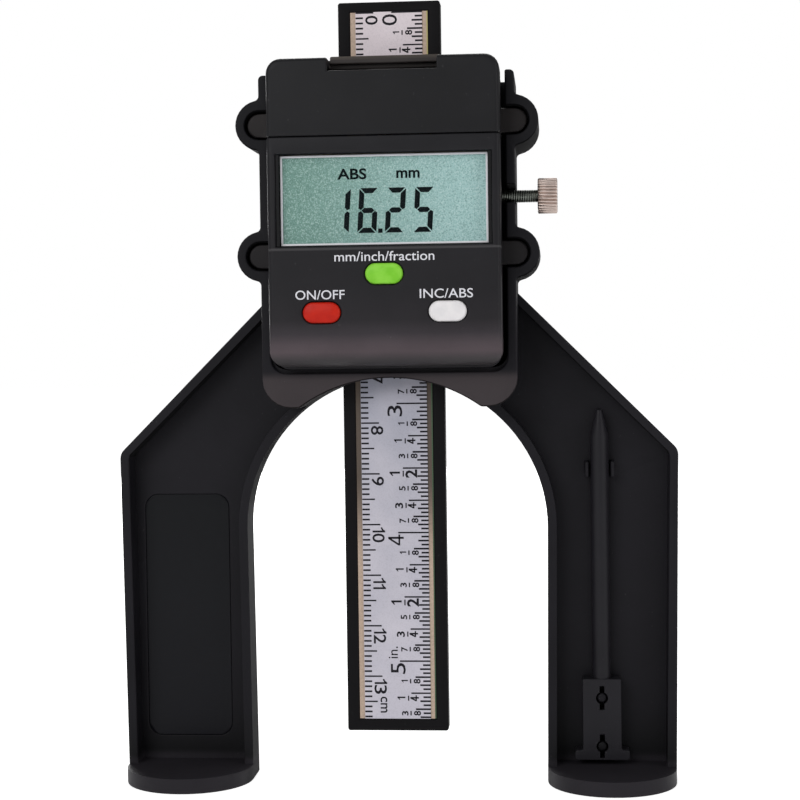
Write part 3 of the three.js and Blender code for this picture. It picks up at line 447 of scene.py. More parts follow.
@dataclass(frozen=True)
class Chinned(Moulded):
    """Moulded plastic with a paler painted sheen on the chin, which stands out in front of the rest, and
    painted shade beneath the arch and the ears.

    Attributes:
        chin: The colour of the chin's painted sheen.
        half_width: Half of the chin's width.
        top: The height of its upper end.
        front: The Y in front of which it lies.
        dirt_from: The height above which faces that look down get painted shade and a rougher surface.
        arch: How far from the middle the arch's upright sides lie at most.
        side_share: The share of the painted shade that these sides have.
    """

    chin: Colour = (0.04, 0.035, 0.038)
    half_width: float = 27.0
    top: float = 82.4
    front: float = -1.0
    dirt_from: float = 60.0
    arch: float = 31.0
    side_share: float = 0.65

    FADE = 1.5
    TOP_FADE = 2.0
    DIRT_FADE = 6.0
    DOWNWARDS = (-0.1, -0.5)
    INWARDS = (-18.0, -24.0)
    # How far the painted shade darkens the colour.
    DARKENING = 0.75

    def tint(self, graph: Graph) -> Any:
        """Mixes the chin's painted sheen in where the point lies within its bounds, and darkens by the
        painted shade.
        """
        across, deep, high = graph.axes()
        inside = (abs(across).step(self.half_width, self.half_width - self.FADE)
                  * high.step(self.top, self.top - self.TOP_FADE)
                  * deep.step(self.front, self.front - self.FADE))
        body = graph.mix(inside, super().tint(graph), self.chin)
        return graph.mix(self.dirt(graph) * self.DARKENING, body, (0.0, 0.0, 0.0))

    def dirt(self, graph: Graph) -> Any:
        """Gives painted shade on the faces beneath the arch and the ears, and less of it on the arch's sides.

        A side of the arch looks towards the middle: its normal's X times its own X is far below zero.
        """
        across, _, high = graph.axes()
        outward, _, up = graph.facing()
        above = self.dirt_from + self.DIRT_FADE
        beneath = up.step(*self.DOWNWARDS) * high.step(self.dirt_from, above)
        beside = ((outward * across).step(*self.INWARDS)
                  * abs(across).step(self.arch, self.arch - self.TOP_FADE)
                  * high.step(above, self.dirt_from))
        return beneath + beside * self.side_share


@dataclass(frozen=True)
class Film(Finish):
    """A smooth printed film with a fine speckle, whose colour drifts from one height to another.

    Attributes:
        name: The material's name.
        low_colour: The colour at the lower height.
        high_colour: The colour at the upper height.
        low: The lower height.
        high: The upper height.
        roughness: Its roughness.
        speckle: The share of the dots.
        gloss: The specular level.
        between: (share of the way, colour) pairs between the two, or none.
    """

    name: str
    low_colour: Colour
    high_colour: Colour
    low: float
    high: float
    roughness: float = 0.35
    speckle: float = 0.12
    gloss: float = 0.5
    between: tuple[tuple[float, Colour], ...] = ()

    DOT_PITCH = 0.22
    DOT_RANGE = (0.45, 0.75)
    DOT_SHADE = 0.3
    DOT_DEPTH = 0.004
    DOT_ROUGHNESS = 0.08
    WASH_PITCH = 9.0
    WASH_RANGE = (0.35, 0.7)
    WASH_SHADE = 1.5
    WASH_SHARE = 0.12

    def dress(self, graph: Graph) -> None:
        """Blends the colours by height and breaks them up with a fine noise."""
        share = (graph.axes()[2] - self.low) / (self.high - self.low)
        stops = [(0.0, self.low_colour), *self.between, (1.0, self.high_colour)]
        body = graph.node("ShaderNodeValToRGB", {"stops": stops}, {0: share})
        dots = graph.noise(self.DOT_PITCH, 2.0)
        wash = graph.noise(self.WASH_PITCH, 2.0)
        body = graph.mix(dots.step(*self.DOT_RANGE) * self.speckle, body,
                         shaded(self.low_colour, self.DOT_SHADE))
        body = graph.mix(wash.step(*self.WASH_RANGE) * self.WASH_SHARE, body,
                         shaded(self.high_colour, self.WASH_SHADE))
        graph.surface(Base_Color=body, Roughness=self.roughness + dots * self.DOT_ROUGHNESS,
                      Normal=graph.bump(dots, self.DOT_DEPTH, 0.2), Specular_IOR_Level=self.gloss)


@dataclass(frozen=True)
class Metal(Finish):
    """A metal with fine marks along one direction and a slight tarnish.

    Attributes:
        name: The material's name.
        colour: Its colour.
        roughness: Its roughness.
        marks: A factor on the marks' frequency along each axis.
        tarnish: The share of the tarnish.
    """

    name: str
    colour: Colour
    roughness: float = 0.3
    marks: Sequence[float] = (1.0, 1.0, 1.0)
    tarnish: float = 0.25

    MARK_PITCH = 0.25
    MARK_DEPTH = 0.006
    CLOUD_PITCH = 3.0
    CLOUD_RANGE = (0.45, 0.8)
    DULL = 0.55
    UNEVEN = 0.14
    EVENED = 0.04

    def dress(self, graph: Graph) -> None:
        """Varies colour and roughness with a stretched noise and a broad one."""
        lines = graph.noise(self.MARK_PITCH, 3.0, self.marks)
        cloud = graph.noise(self.CLOUD_PITCH)
        dulled = cloud.step(*self.CLOUD_RANGE) * self.tarnish
        body = graph.mix(dulled, self.colour, shaded(self.colour, self.DULL))
        rough = self.roughness + lines * self.UNEVEN - self.EVENED
        graph.surface(Base_Color=body, Metallic=1.0, Roughness=rough,
                      Normal=graph.bump(lines, self.MARK_DEPTH, 0.35))


@dataclass(frozen=True)
class Threaded(Metal):
    """A metal rod along X with a fine rolled thread.

    The thread's height at a point is 0.5 + 0.5 sin(2 pi x / pitch + the angle about the rod's axis).

    Attributes:
        pitch: The thread's pitch in millimetres.
        axis: The Y and Z of the rod's axis.
    """

    pitch: float = 0.45
    axis: tuple[float, float] = (3.36, 115.8)

    GROOVE_RANGE = (0.55, 0.1)
    GROOVE_SHARE = 0.6
    GROOVE_SHADE = 0.3
    THREAD_DEPTH = 0.08

    def dress(self, graph: Graph) -> None:
        """Shades the grooves and raises the ridges of the thread."""
        across, deep, high = graph.axes()
        angle = across.maths("ARCTAN2", high - self.axis[1], deep - self.axis[0])
        wave = across.maths("SINE", across * (2 * math.pi / self.pitch) + angle) * 0.5 + 0.5
        cloud = graph.noise(self.CLOUD_PITCH)
        dulled = cloud.step(*self.CLOUD_RANGE) * self.tarnish
        dark = wave.step(*self.GROOVE_RANGE) * self.GROOVE_SHARE + dulled
        body = graph.mix(dark, self.colour, shaded(self.colour, self.GROOVE_SHADE))
        graph.surface(Base_Color=body, Metallic=1.0, Roughness=self.roughness + cloud * self.UNEVEN,
                      Normal=graph.bump(wave, self.THREAD_DEPTH, 0.6))


@dataclass(frozen=True)
class Ink(Finish):
    """Printed ink, thin at places, where its ground shows."""

    name: str
    colour: Colour
    ground: Colour
    gloss: float = 0.12

    WORN_PITCH = 0.16
    WORN_RANGE = (0.55, 0.95)
    WORN_SHARE = 0.2

    def dress(self, graph: Graph) -> None:
        """Lets a little of the ground through."""
        worn = graph.noise(self.WORN_PITCH, 2.0)
        body = graph.mix(worn.step(*self.WORN_RANGE) * self.WORN_SHARE, self.colour, self.ground)
        graph.surface(Base_Color=body, Roughness=0.45 + worn * 0.1, Specular_IOR_Level=self.gloss)


@dataclass(frozen=True)
class Key(Finish):
    """A moulded rubber-like key: even colour, a little deeper at places, satin."""

    name: str
    colour: Colour
    deep: Colour

    GRAIN_PITCH = 0.12
    GRAIN_DEPTH = 0.006
    WASH_PITCH = 2.4
    WASH_RANGE = (0.3, 0.7)

    def dress(self, graph: Graph) -> None:
        """Blends the deeper colour in with a broad noise and adds a very fine grain."""
        fine = graph.noise(self.GRAIN_PITCH, 2.0)
        wash = graph.noise(self.WASH_PITCH, 2.0)
        body = graph.mix(wash.step(*self.WASH_RANGE), self.colour, self.deep)
        graph.surface(Base_Color=body, Roughness=0.42 + fine * 0.1,
                      Normal=graph.bump(fine, self.GRAIN_DEPTH, 0.3), Specular_IOR_Level=0.2)


@dataclass(frozen=True)
class Liquid(Finish):
    """The grey-green face of a liquid crystal display, paler towards the right, with a fine sparkle."""

    name: str
    left_colour: Colour
    right_colour: Colour
    left: float
    right: float

    SPARKLE_PITCH = 0.24
    DARK_RANGE = (0.5, 0.3)
    PALE_RANGE = (0.5, 0.72)
    SPARKLE_SHARE = 0.55
    DARK_SHADE = 0.55
    PALE = (0.62, 0.76, 0.75)

    def dress(self, graph: Graph) -> None:
        """Blends by X and adds dark and pale sparkles."""
        across = graph.axes()[0]
        share = ((across - self.left) / (self.right - self.left)).step(0.0, 1.0)
        body = graph.mix(share, self.left_colour, self.right_colour)
        sparkle = graph.noise(self.SPARKLE_PITCH)
        for limits, colour in ((self.DARK_RANGE, shaded(self.left_colour, self.DARK_SHADE)),
                               (self.PALE_RANGE, self.PALE)):
            body = graph.mix(sparkle.step(*limits) * self.SPARKLE_SHARE, body, colour)
        graph.surface(Base_Color=body, Roughness=0.5 + sparkle * 0.15, Specular_IOR_Level=0.2)


@dataclass(frozen=True)
class Glazing(Finish):
    """A clear window with a black border printed on its back."""

    name: str
    centre_height: float
    clear_half_width: float
    clear_half_height: float

    FADE = 0.06
    HAZE = 0.03
    BORDER = (0.004, 0.004, 0.005)
    SMEAR_PITCH = 6.0

    def dress(self, graph: Graph) -> None:
        """Covers only where the point lies outside the clear rectangle; elsewhere a trace of haze."""
        across, _, high = graph.axes()
        side = abs(across).step(self.clear_half_width, self.clear_half_width + self.FADE)
        end = abs(high - self.centre_height).step(self.clear_half_height, self.clear_half_height + self.FADE)
        border = side.maths("MAXIMUM", side, end)
        smear = graph.noise(self.SMEAR_PITCH)
        graph.surface(Base_Color=self.BORDER, Roughness=0.06 + smear * 0.06,
                      Alpha=border.maths("MAXIMUM", border, self.HAZE))


@dataclass(frozen=True)
class Laminate(Finish):
    """Circuit board: green lacquer over faint tracks, with bare gilt margins where asked.

    Attributes:
        name: The material's name.
        colour: The lacquer's colour.
        gilt: The margins' colour.
        pale: The colour of the lacquer's upper end.
        left: The X left of which it is gilt.
        right: The X right of which it is lacquered.
        pale_height: The height at which the pale colour is full.
    """

    name: str
    colour: Colour
    gilt: Colour = (0.5, 0.36, 0.16)
    pale: Colour = (0.5, 0.36, 0.16)
    left: float = -1e3
    right: float = 1e3
    pale_height: float = 150.0

    WEAVE_PITCH = 0.35
    WEAVE_RANGE = (0.35, 0.7)
    WEAVE_DEPTH = 0.01
    TRACKS_EACH_MM = 2.1
    TRACK_RANGE = (0.55, 0.65)
    TRACK_SHARE = 0.25
    TRACK_SHADE = 1.9
    WORN_SHARE = 0.4
    WORN_SHADE = 0.6
    SHADOW_FROM = (42.0, 62.0)
    SHADOW_TO = (122.0, 92.0)
    SHADOW_SHARE = 0.95
    SHADOW_SHADE = 0.13
    PALE_RISE = 60.0

    def dress(self, graph: Graph) -> None:
        """Puts the gilt left of one X and between two others, and tracks on the rest."""
        across, _, high = graph.axes()
        weave = graph.noise(self.WEAVE_PITCH)
        row = high * self.TRACKS_EACH_MM
        tracks = row.maths("FRACT", row).step(*self.TRACK_RANGE) * self.TRACK_SHARE + weave * 0.3
        green = graph.mix(tracks, self.colour, shaded(self.colour, self.TRACK_SHADE))
        margin = across.maths("GREATER_THAN", across, self.left)
        inner = across.maths("LESS_THAN", across, self.right)
        worn = weave.step(*self.WEAVE_RANGE) * self.WORN_SHARE
        gold = graph.mix(worn, self.gilt, shaded(self.gilt, self.WORN_SHADE))
        shadow = high.step(*self.SHADOW_FROM) * high.step(*self.SHADOW_TO) * self.SHADOW_SHARE
        gold = graph.mix(shadow, gold, shaded(self.gilt, self.SHADOW_SHADE))
        rising = high.step(self.pale_height - self.PALE_RISE, self.pale_height)
        right_side = graph.mix(rising, green, self.pale)
        body = graph.mix(margin, gold, graph.mix(inner, right_side, gold))
        graph.surface(Base_Color=body, Roughness=0.42 + weave * 0.12,
                      Normal=graph.bump(weave, self.WEAVE_DEPTH, 0.3), Specular_IOR_Level=0.25)


@dataclass(frozen=True)
class FloorPaper(Finish):
    """White paper that shows white to the camera, with the gauge's shadow kept."""

    name: str

    FIBRE_PITCH = 1.5
    FIBRE_SHARE = 0.04
    SHEET = (0.9, 0.9, 0.9)
    FIBRE = (0.8, 0.8, 0.8)
    GLOW = 0.62
    GLOW_RISE = 0.16
    GLOW_RANGE = (180.0, 900.0)

    def dress(self, graph: Graph) -> None:
        """Adds a white glow for camera and mirror rays, greater away from the gauge, to a pale paper."""
        seen = graph.node("ShaderNodeLightPath", result="Is Camera Ray")
        mirrored = Wire(graph, seen.socket.node.outputs["Is Glossy Ray"])
        white = seen.maths("MAXIMUM", seen, mirrored)
        across, along, _ = graph.axes()
        square = across * across + along * along
        away = square.maths("SQRT", square)
        paper = graph.mix(graph.noise(self.FIBRE_PITCH) * self.FIBRE_SHARE, self.SHEET, self.FIBRE)
        plain = graph.node("ShaderNodeBsdfDiffuse", None, {"Color": paper})
        strength = white * (self.GLOW + away.step(*self.GLOW_RANGE) * self.GLOW_RISE)
        glow = graph.node("ShaderNodeEmission", None, {"Color": (1.0, 1.0, 1.0), "Strength": strength})
        graph.node_output(graph.node("ShaderNodeAddShader", None, {0: plain, 1: glow}))


class Shape:
    """Meshes made from arrays, and softened copies of nodes."""

    SHARP = math.radians(32)
    FLAT = math.radians(0.5)
    CLOSE = 0.03
    VERY_CLOSE = 0.002
    THIN_SHARE = 0.3
    MEETING = 1e-7

    @staticmethod
    def piece(name: str, points: np.ndarray, faces: Sequence[Sequence[int]], finish: Finish,
              smooth: float | None = 35.0) -> bpy.types.Object:
        """Makes an object from points in millimetres.

        Args:
            name: The object's name.
            points: An array of X, Y and Z rows.
            faces: The corners of each face.
            finish: Its finish.
            smooth: The angle in degrees above which an edge stays sharp, or None for flat faces.

        Returns:
            The new object, at the origin.
        """
        mesh = bpy.data.meshes.new(name)
        mesh.from_pydata((points * MM).tolist(), [], [list(face) for face in faces])
        mesh.update()
        mesh.validate()
        made = linked(name, mesh)
        mesh.materials.append(finish.material())
        if smooth is not None:
            mesh.shade_smooth()
            mesh.set_sharp_from_angle(angle=math.radians(smooth))
        return made

    @staticmethod
    def skin(rows: int, columns: int) -> np.ndarray:
        """Gives the faces of a grid whose columns close on themselves.

        Args:
            rows: Rings of the grid.
            columns: Points of each ring.

        Returns:
            An array of four corners for each face: the corners (r, c), (r, c+1), (r+1, c+1) and (r+1, c).
        """
        row, column = np.meshgrid(np.arange(rows - 1), np.arange(columns), indexing="ij")
        after = (column + 1) % columns
        first = row * columns
        return np.stack([first + column, first + after, first + columns + after, first + columns + column],
                        axis=-1).reshape(-1, 4)

    @staticmethod
    def rings(name: str, stack: np.ndarray, finish: Finish, smooth: float | None = 35.0) -> bpy.types.Object:
        """Joins rings of points into a closed skin, with a flat cap at each end.

        Args:
            name: The object's name.
            stack: An array of rings by points by three.
            finish: Its finish.
            smooth: As for piece.

        Returns:
            The new object.
        """
        count, around = stack.shape[:2]
        faces: list[Sequence[int]] = Shape.skin(count, around).tolist()
        faces.append(list(range(around))[::-1])
        faces.append(list(range((count - 1) * around, count * around)))
        made = Shape.piece(name, stack.reshape(-1, 3), faces, finish, smooth)
        with edited(made.data) as grown:
            bmesh.ops.recalc_face_normals(grown, faces=grown.faces)
        return made

    @staticmethod
    def stand_in(made: bpy.types.Object, node: str) -> bpy.types.Object:
        """Lets a piece take the place of a node, on its body."""
        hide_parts(node)
        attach(made, frame["nodes"][node]["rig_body"])
        return made

    @staticmethod
    def stadium(centre: tuple[float, float], length: float, height: float, depth: float,
                around: int = 64) -> np.ndarray:
        """Gives a ring in the shape of a stadium.

        A point at the angle t is the straight half length, signed by cos t, plus the end radius times
        (cos t, sin t).

        Args:
            centre: X and Z of its centre.
            length: Its whole length along X.
            height: Its height along Z.
            depth: Its Y.
            around: How many points.

        Returns:
            An array of points by three.
        """
        turn = circle(around, 0.5)
        radius = height / 2
        across = centre[0] + np.sign(np.cos(turn)) * (length / 2 - radius) + radius * np.cos(turn)
        return np.stack([across, np.full(around, depth), centre[1] + radius * np.sin(turn)], axis=-1)

    @staticmethod
    def soften(node: str, finish: Finish, width: float, segments: int = 2,
               worn: Finish | None = None) -> bpy.types.Object:
        """Copies a node and rounds its outer sharp edges, each as far as there is room for it.

        Args:
            node: The node's name.
            finish: The finish of the copy.
            width: The widest bevel in millimetres, or 0 for none.
            segments: Steps of the bevel.
            worn: The finish of the rounded edges, which paints a highlight along them, or None for the copy's
                own.

        Returns:
            The copy, which replaces the node and rides on its body.
        """
        mesh = frame["nodes"][node].data.copy()
        Shape.even(mesh, Shape.CLOSE if width > 0 else Shape.VERY_CLOSE)
        Edges(mesh, Shape.SHARP).weigh(width * MM)
        if width > 0:
            mesh = Shape.bevelled(mesh, width, segments)
        mesh.name = f"{node}_soft"
        mesh.materials.clear()
        mesh.materials.append(finish.material())
        mesh.materials.append((worn or finish).material())
        made = linked(f"{node}_soft", mesh)
        shading = made.modifiers.new("even_shading", "WEIGHTED_NORMAL")
        shading.keep_sharp = True
        return Shape.stand_in(made, node)

    @staticmethod
    def trim(made: bpy.types.Object, sides: tuple[float, float]) -> None:
        """Narrows a flat sheet: points left of its middle move right, the others left.

        Args:
            made: The sheet.
            sides: How far in millimetres, at the left and at the right.
        """
        points = Edges.read(made.data.vertices, "co", float).reshape(-1, 3)
        middle = (points[:, 0].min() + points[:, 0].max()) / 2
        points[:, 0] += np.where(points[:, 0] < middle, sides[0], -sides[1]) * MM
        made.data.vertices.foreach_set("co", points.ravel())
        made.data.update()

    @staticmethod
    def bevelled(mesh: bpy.types.Mesh, width: float, segments: int) -> bpy.types.Mesh:
        """Rounds the weighted edges of a mesh and lays its flat patches anew.

        Args:
            mesh: The mesh, with bevel weights and patch numbers.
            width: The width in millimetres at a weight of 1.
            segments: Steps of the bevel.

        Returns:
            A new mesh, whose rounded faces have the second material.
        """
        carrier = linked("carrier", mesh)
        bevel = carrier.modifiers.new("rounded_edges", "BEVEL")
        bevel.limit_method = "WEIGHT"
        bevel.width = width * MM
        bevel.segments = segments
        bevel.use_clamp_overlap = False
        bevel.loop_slide = False
        bevel.material = 1
        mesh.materials.clear()
        mesh.materials.append(None)
        mesh.materials.append(None)
        rounded = evaluated(carrier)
        bpy.data.meshes.remove(mesh)
        points = Edges.read(rounded.vertices, "co", float).reshape(-1, 3)
        patch = Edges.read(rounded.attributes["patch"].data, "value", int, 1)
        faces: list[list[int]] = []
        kinds: list[int] = []
        flats: dict[int, list[list[int]]] = {}
        for polygon, number in zip(rounded.polygons, patch):
            if polygon.material_index == 1:
                faces.append(list(polygon.vertices))
                kinds.append(1)
            else:
                flats.setdefault(int(number), []).append(list(polygon.vertices))
        for members in flats.values():
            filled = Shape.refilled(points, members)
            faces.extend(filled)
            kinds.extend([0] * len(filled))
        bpy.data.meshes.remove(rounded)
        return Shape.marked(points, faces, kinds)

    @staticmethod
    def refilled(points: np.ndarray, members: list[list[int]]) -> list[list[int]]:
        """Fills the outline of a flat patch with triangles.

        The outline is the directed lines of the faces whose reverse no face has. It is laid flat and filled
        by a constrained Delaunay triangulation. A triangle counts where a line from its middle crosses the
        outline an odd number of times.

        Args:
            points: All points in metres.
            members: The faces of the patch.

        Returns:
            The new faces, or the old ones where the outline crosses itself.
        """
        if len(members) == 1 and len(members[0]) < 5:
            return members
        lines = {pair for face in members for pair in zip(face, face[1:] + face[:1])}
        outline = [pair for pair in lines if pair[::-1] not in lines]
        normal = np.zeros(3)
        for face in members:
            ring = points[face]
            normal += np.cross(ring, np.roll(ring, -1, axis=0)).sum(axis=0)
        normal /= np.linalg.norm(normal)
        across = np.cross(normal, np.eye(3)[int(np.argmin(np.abs(normal)))])
        across /= np.linalg.norm(across)
        up = np.cross(normal, across)
        used = sorted({corner for pair in outline for corner in pair})
        place = {corner: number for number, corner in enumerate(used)}
        flat = points[used] @ np.stack([across, up], axis=-1) / MM
        pairs = np.array([(place[first], place[second]) for first, second in sorted(outline)])
        result = delaunay_2d_cdt([Vector(spot) for spot in flat], pairs.tolist(), [], 1, Shape.MEETING, True)
        origins = result[3]
        if any(len(origin) != 1 for origin in origins) or len(origins) != len(used):
            return members
        triangles = np.array([[origins[corner][0] for corner in triangle] for triangle in result[2]])
        middle = flat[triangles].mean(axis=1)
        start, end = flat[pairs[:, 0]], flat[pairs[:, 1]]
        beside = (start[:, 1] > middle[:, 1:]) != (end[:, 1] > middle[:, 1:])
        with np.errstate(divide="ignore", invalid="ignore"):
            share = (middle[:, 1:] - start[:, 1]) / (end[:, 1] - start[:, 1])
        crossed = beside & (start[:, 0] + share * (end[:, 0] - start[:, 0]) > middle[:, :1])
        inside = crossed.sum(axis=1) % 2 == 1
        return np.array(used)[triangles[inside]].tolist()

    @staticmethod
    def marked(points: np.ndarray, faces: list[list[int]], kinds: list[int]) -> bpy.types.Mesh:
        """Makes a smooth mesh whose edges stay sharp between two unrounded faces that meet at an angle.

        Args:
            points: All points in metres.
            faces: The faces.
            kinds: The material number of each face.

        Returns:
            The mesh.
        """
        made = bpy.data.meshes.new("marked")
        made.from_pydata(points.tolist(), [], faces)
        made.polygons.foreach_set("material_index", kinds)
        with edited(made) as grown:
            loose = [corner for corner in grown.verts if not corner.link_faces]
            bmesh.ops.delete(grown, geom=loose, context="VERTS")
            for edge in grown.edges:
                plain = all(face.material_index == 0 for face in edge.link_faces)
                edge.smooth = not (plain and edge.is_manifold and edge.calc_face_angle() > Shape.SHARP)
            for face in grown.faces:
                face.smooth = True
        return made

    @staticmethod
    def even(mesh: bpy.types.Mesh, close: float) -> None:
        """Merges close points and turns the diagonals of flat patches so that no triangle is needlessly thin.

        Args:
            mesh: The mesh.
            close: The distance in millimetres below which points are one.
        """
        with edited(mesh) as grown:
            bmesh.ops.remove_doubles(grown, verts=grown.verts, dist=close * MM)
            bmesh.ops.dissolve_degenerate(grown, dist=close * Shape.THIN_SHARE * MM, edges=grown.edges)
            bmesh.ops.triangulate(grown, faces=grown.faces)
            grown.normal_update()
            flat = [edge for edge in grown.edges if edge.is_manifold and edge.calc_face_angle() < Shape.FLAT]
            bmesh.ops.beautify_fill(grown, faces=grown.faces, edges=flat, method="ANGLE")


class Edges:
    """The edges of a triangle mesh as arrays, and how far each may be rounded."""

    FLAT = math.radians(1.0)
    RUNS_ON = math.radians(50.0)
    LOOKS = (0.1, 0.5, 0.9)
    TOUCHING = 1e-7
    ROOM_SHARE = 0.42
    BEND_SHARE = 0.8
    LEAST_WEIGHT = 0.15
    LEAST_BEND = 1e-6

    def __init__(self, mesh: bpy.types.Mesh, sharp: float) -> None:
        """Reads a mesh.

        Args:
            mesh: The mesh, with merged points.
            sharp: The angle in radians from which an edge counts as sharp.
        """
        self.mesh = mesh
        self.points = self.read(mesh.vertices, "co", float).reshape(-1, 3)
        self.ends = self.read(mesh.edges, "vertices", int, 2).reshape(-1, 2)
        self.length = np.linalg.norm(self.points[self.ends[:, 0]] - self.points[self.ends[:, 1]], axis=1)
        self.normal = self.read(mesh.polygons, "normal", float).reshape(-1, 3)
        rows = self.read(mesh.loops, "vertex_index", int, 1).reshape(-1, 3)
        self.centre = self.points[rows].mean(axis=1)
        loop_edge = self.read(mesh.loops, "edge_index", int, 1)
        order = np.argsort(loop_edge, kind="stable")
        edge, face = loop_edge[order], order // 3
        pairs = np.flatnonzero(edge[:-1] == edge[1:])
        self.shared = edge[pairs]
        self.sides = np.stack([face[pairs], face[pairs + 1]], axis=-1)
        dots = np.einsum("ij,ij->i", self.normal[self.sides[:, 0]], self.normal[self.sides[:, 1]])
        lean = np.einsum("ij,ij->i", self.centre[self.sides[:, 1]] - self.centre[self.sides[:, 0]],
                         self.normal[self.sides[:, 0]])
        self.angle = np.zeros(len(self.length))
        self.angle[self.shared] = np.arccos(np.clip(dots, -1, 1))
        outer = np.zeros(len(self.length), bool)
        outer[self.shared] = lean < 0
        self.sharp = self.angle > sharp
        self.rounded = self.sharp & outer
        flat = self.angle[self.shared] < self.FLAT
        self.patch = self.groups(self.sides[flat], len(self.normal))

    @staticmethod
    def read(items: Any, name: str, kind: type, width: int = 3) -> np.ndarray:
        """Reads one property of all items of a mesh, with width values for each, into a flat array."""
        values = np.empty(len(items) * width, kind)
        items.foreach_get(name, values)
        return values

    @staticmethod
    def groups(joined: np.ndarray, count: int) -> np.ndarray:
        """Numbers the groups into which pairs join a row of things.

        Every thing starts with its own number, and the lower number spreads over each pair until
        nothing changes.

        Args:
            joined: Rows of two things that belong together.
            count: How many things there are.

        Returns:
            The number of each thing's group.
        """
        label = np.arange(count)
        while True:
            least = label[joined].min(axis=1)
            spread = label.copy()
            np.minimum.at(spread, joined[:, 0], least)
            np.minimum.at(spread, joined[:, 1], least)
            if np.array_equal(spread, label):
                return label
            label = spread

    def depth(self) -> np.ndarray:
        """Gives how deep the flat patches beside each rounded edge are.

        From three places of the edge a line runs square to it in the plane of a patch. The depth is the
        least distance at which such a line meets the patch's outline again.
        """
        border = self.angle[self.shared] >= self.FLAT
        owner = self.patch[self.sides[border]].T.ravel()
        edge = np.tile(self.shared[border], 2)
        face = self.sides[border].T.ravel()
        order = np.argsort(owner, kind="stable")
        owner, edge, face = owner[order], edge[order], face[order]
        starts = np.flatnonzero(np.r_[True, owner[1:] != owner[:-1]])
        found = np.full(len(self.length), np.inf)
        for low, high in zip(starts, np.r_[starts[1:], len(owner)]):
            outline = self.points[self.ends[edge[low:high]]]
            for one in range(low, high):
                if self.rounded[edge[one]]:
                    reach = self.clearance(edge[one], face[one], outline)
                    found[edge[one]] = min(found[edge[one]], reach)
        return found

    def clearance(self, edge: int, face: int, outline: np.ndarray) -> float:
        """Gives the least distance from an edge across its face's patch to the patch's outline.

        Args:
            edge: The edge.
            face: Its face in the patch.
            outline: The two ends of each line of the outline.

        Returns:
            The distance in metres, or infinity.
        """
        start, end = self.points[self.ends[edge]]
        along = (end - start) / self.length[edge]
        inward = np.cross(self.normal[face], along)
        inward = inward * (1.0 if (self.centre[face] - start) @ inward > 0 else -1.0)
        run = (outline - start) @ along
        rise = (outline - start) @ inward
        least = math.inf
        for share in self.LOOKS:
            before, after = run[:, 0] - share * self.length[edge], run[:, 1] - share * self.length[edge]
            met = before * after < 0
            height = rise[met, 0] - before[met] / (after[met] - before[met]) * (rise[met, 1] - rise[met, 0])
            height = height[height > self.TOUCHING]
            least = min(least, float(height.min())) if len(height) else least
        return least

    def chains(self) -> tuple[np.ndarray, np.ndarray, np.ndarray]:
        """Joins rounded edges that run on into each other at a point that no other rounded edge meets.

        Returns:
            The chain's number of each edge, the sum of tan(turn / 2) at its joined ends, and which points
            join two edges.
        """
        chosen = np.flatnonzero(self.rounded)
        point = self.ends[chosen].ravel()
        edge = np.repeat(chosen, 2)
        other = self.ends[chosen][:, ::-1].ravel()
        order = np.argsort(point, kind="stable")
        point, edge, other = point[order], edge[order], other[order]
        met = np.bincount(point, minlength=len(self.points))
        first = np.flatnonzero((point[:-1] == point[1:]) & (met[point[:-1]] == 2))
        ways = [self.points[other[place]] - self.points[point[place]] for place in (first, first + 1)]
        ways = [way / np.linalg.norm(way, axis=1, keepdims=True) for way in ways]
        turn = math.pi - np.arccos(np.clip(np.einsum("ij,ij->i", *ways), -1, 1))
        runs_on = turn < self.RUNS_ON
        first, slope = first[runs_on], np.tan(turn[runs_on] / 2)
        bend = np.zeros(len(self.length))
        np.add.at(bend, edge[first], slope)
        np.add.at(bend, edge[first + 1], slope)
        joint = np.zeros(len(self.points), bool)
        joint[point[first]] = True
        return self.groups(np.stack([edge[first], edge[first + 1]], axis=-1), len(self.length)), bend, joint

    def weigh(self, width: float) -> None:
        """Writes the bevel weights, the sharp edges and the patches' numbers to the mesh.

        The room of a rounded edge is the least of 0.42 of its patches' depth, 0.42 of the shortest edge
        out of their planes that it meets, and the length at which its curve would close. A whole chain
        takes the room of its narrowest edge.

        Args:
            width: The bevel's width in metres, or 0.
        """
        weight = np.zeros(len(self.length))
        if width > 0 and self.rounded.any():
            chain, bend, joint = self.chains()
            reach = np.full(len(self.points), np.inf)
            for end in (0, 1):
                point = self.ends[:, end]
                counted = (self.angle >= self.FLAT) & ~(self.rounded & joint[point])
                np.minimum.at(reach, point[counted], self.length[counted])
            room = np.minimum(self.ROOM_SHARE * self.depth(), self.ROOM_SHARE * reach[self.ends].min(axis=1))
            room = np.minimum(room, self.BEND_SHARE * self.length / np.maximum(bend, self.LEAST_BEND))
            least = np.full(len(self.length), np.inf)
            np.minimum.at(least, chain[self.rounded], room[self.rounded])
            weight = np.where(self.rounded, np.clip(least[chain] / width, 0, 1), 0.0)
            weight[weight < self.LEAST_WEIGHT] = 0.0
        notes = self.mesh.attributes
        notes.new("bevel_weight_edge", "FLOAT", "EDGE").data.foreach_set("value", weight.astype(np.float32))
        notes.new("patch", "INT", "FACE").data.foreach_set("value", self.patch.astype(np.int32))
        self.mesh.shade_smooth()
        kept = notes.get("sharp_edge") or notes.new("sharp_edge", "BOOLEAN", "EDGE")
        kept.data.foreach_set("value", self.sharp & (weight == 0))


@dataclass(frozen=True)
class Word:
    """One level word in print.

    Attributes:
        text: Its letters.
        place: X and Z of its left end.
        height: The height of a capital.
        length: Its length.
    """

    text: str
    place: tuple[float, float]
    height: float
    length: float


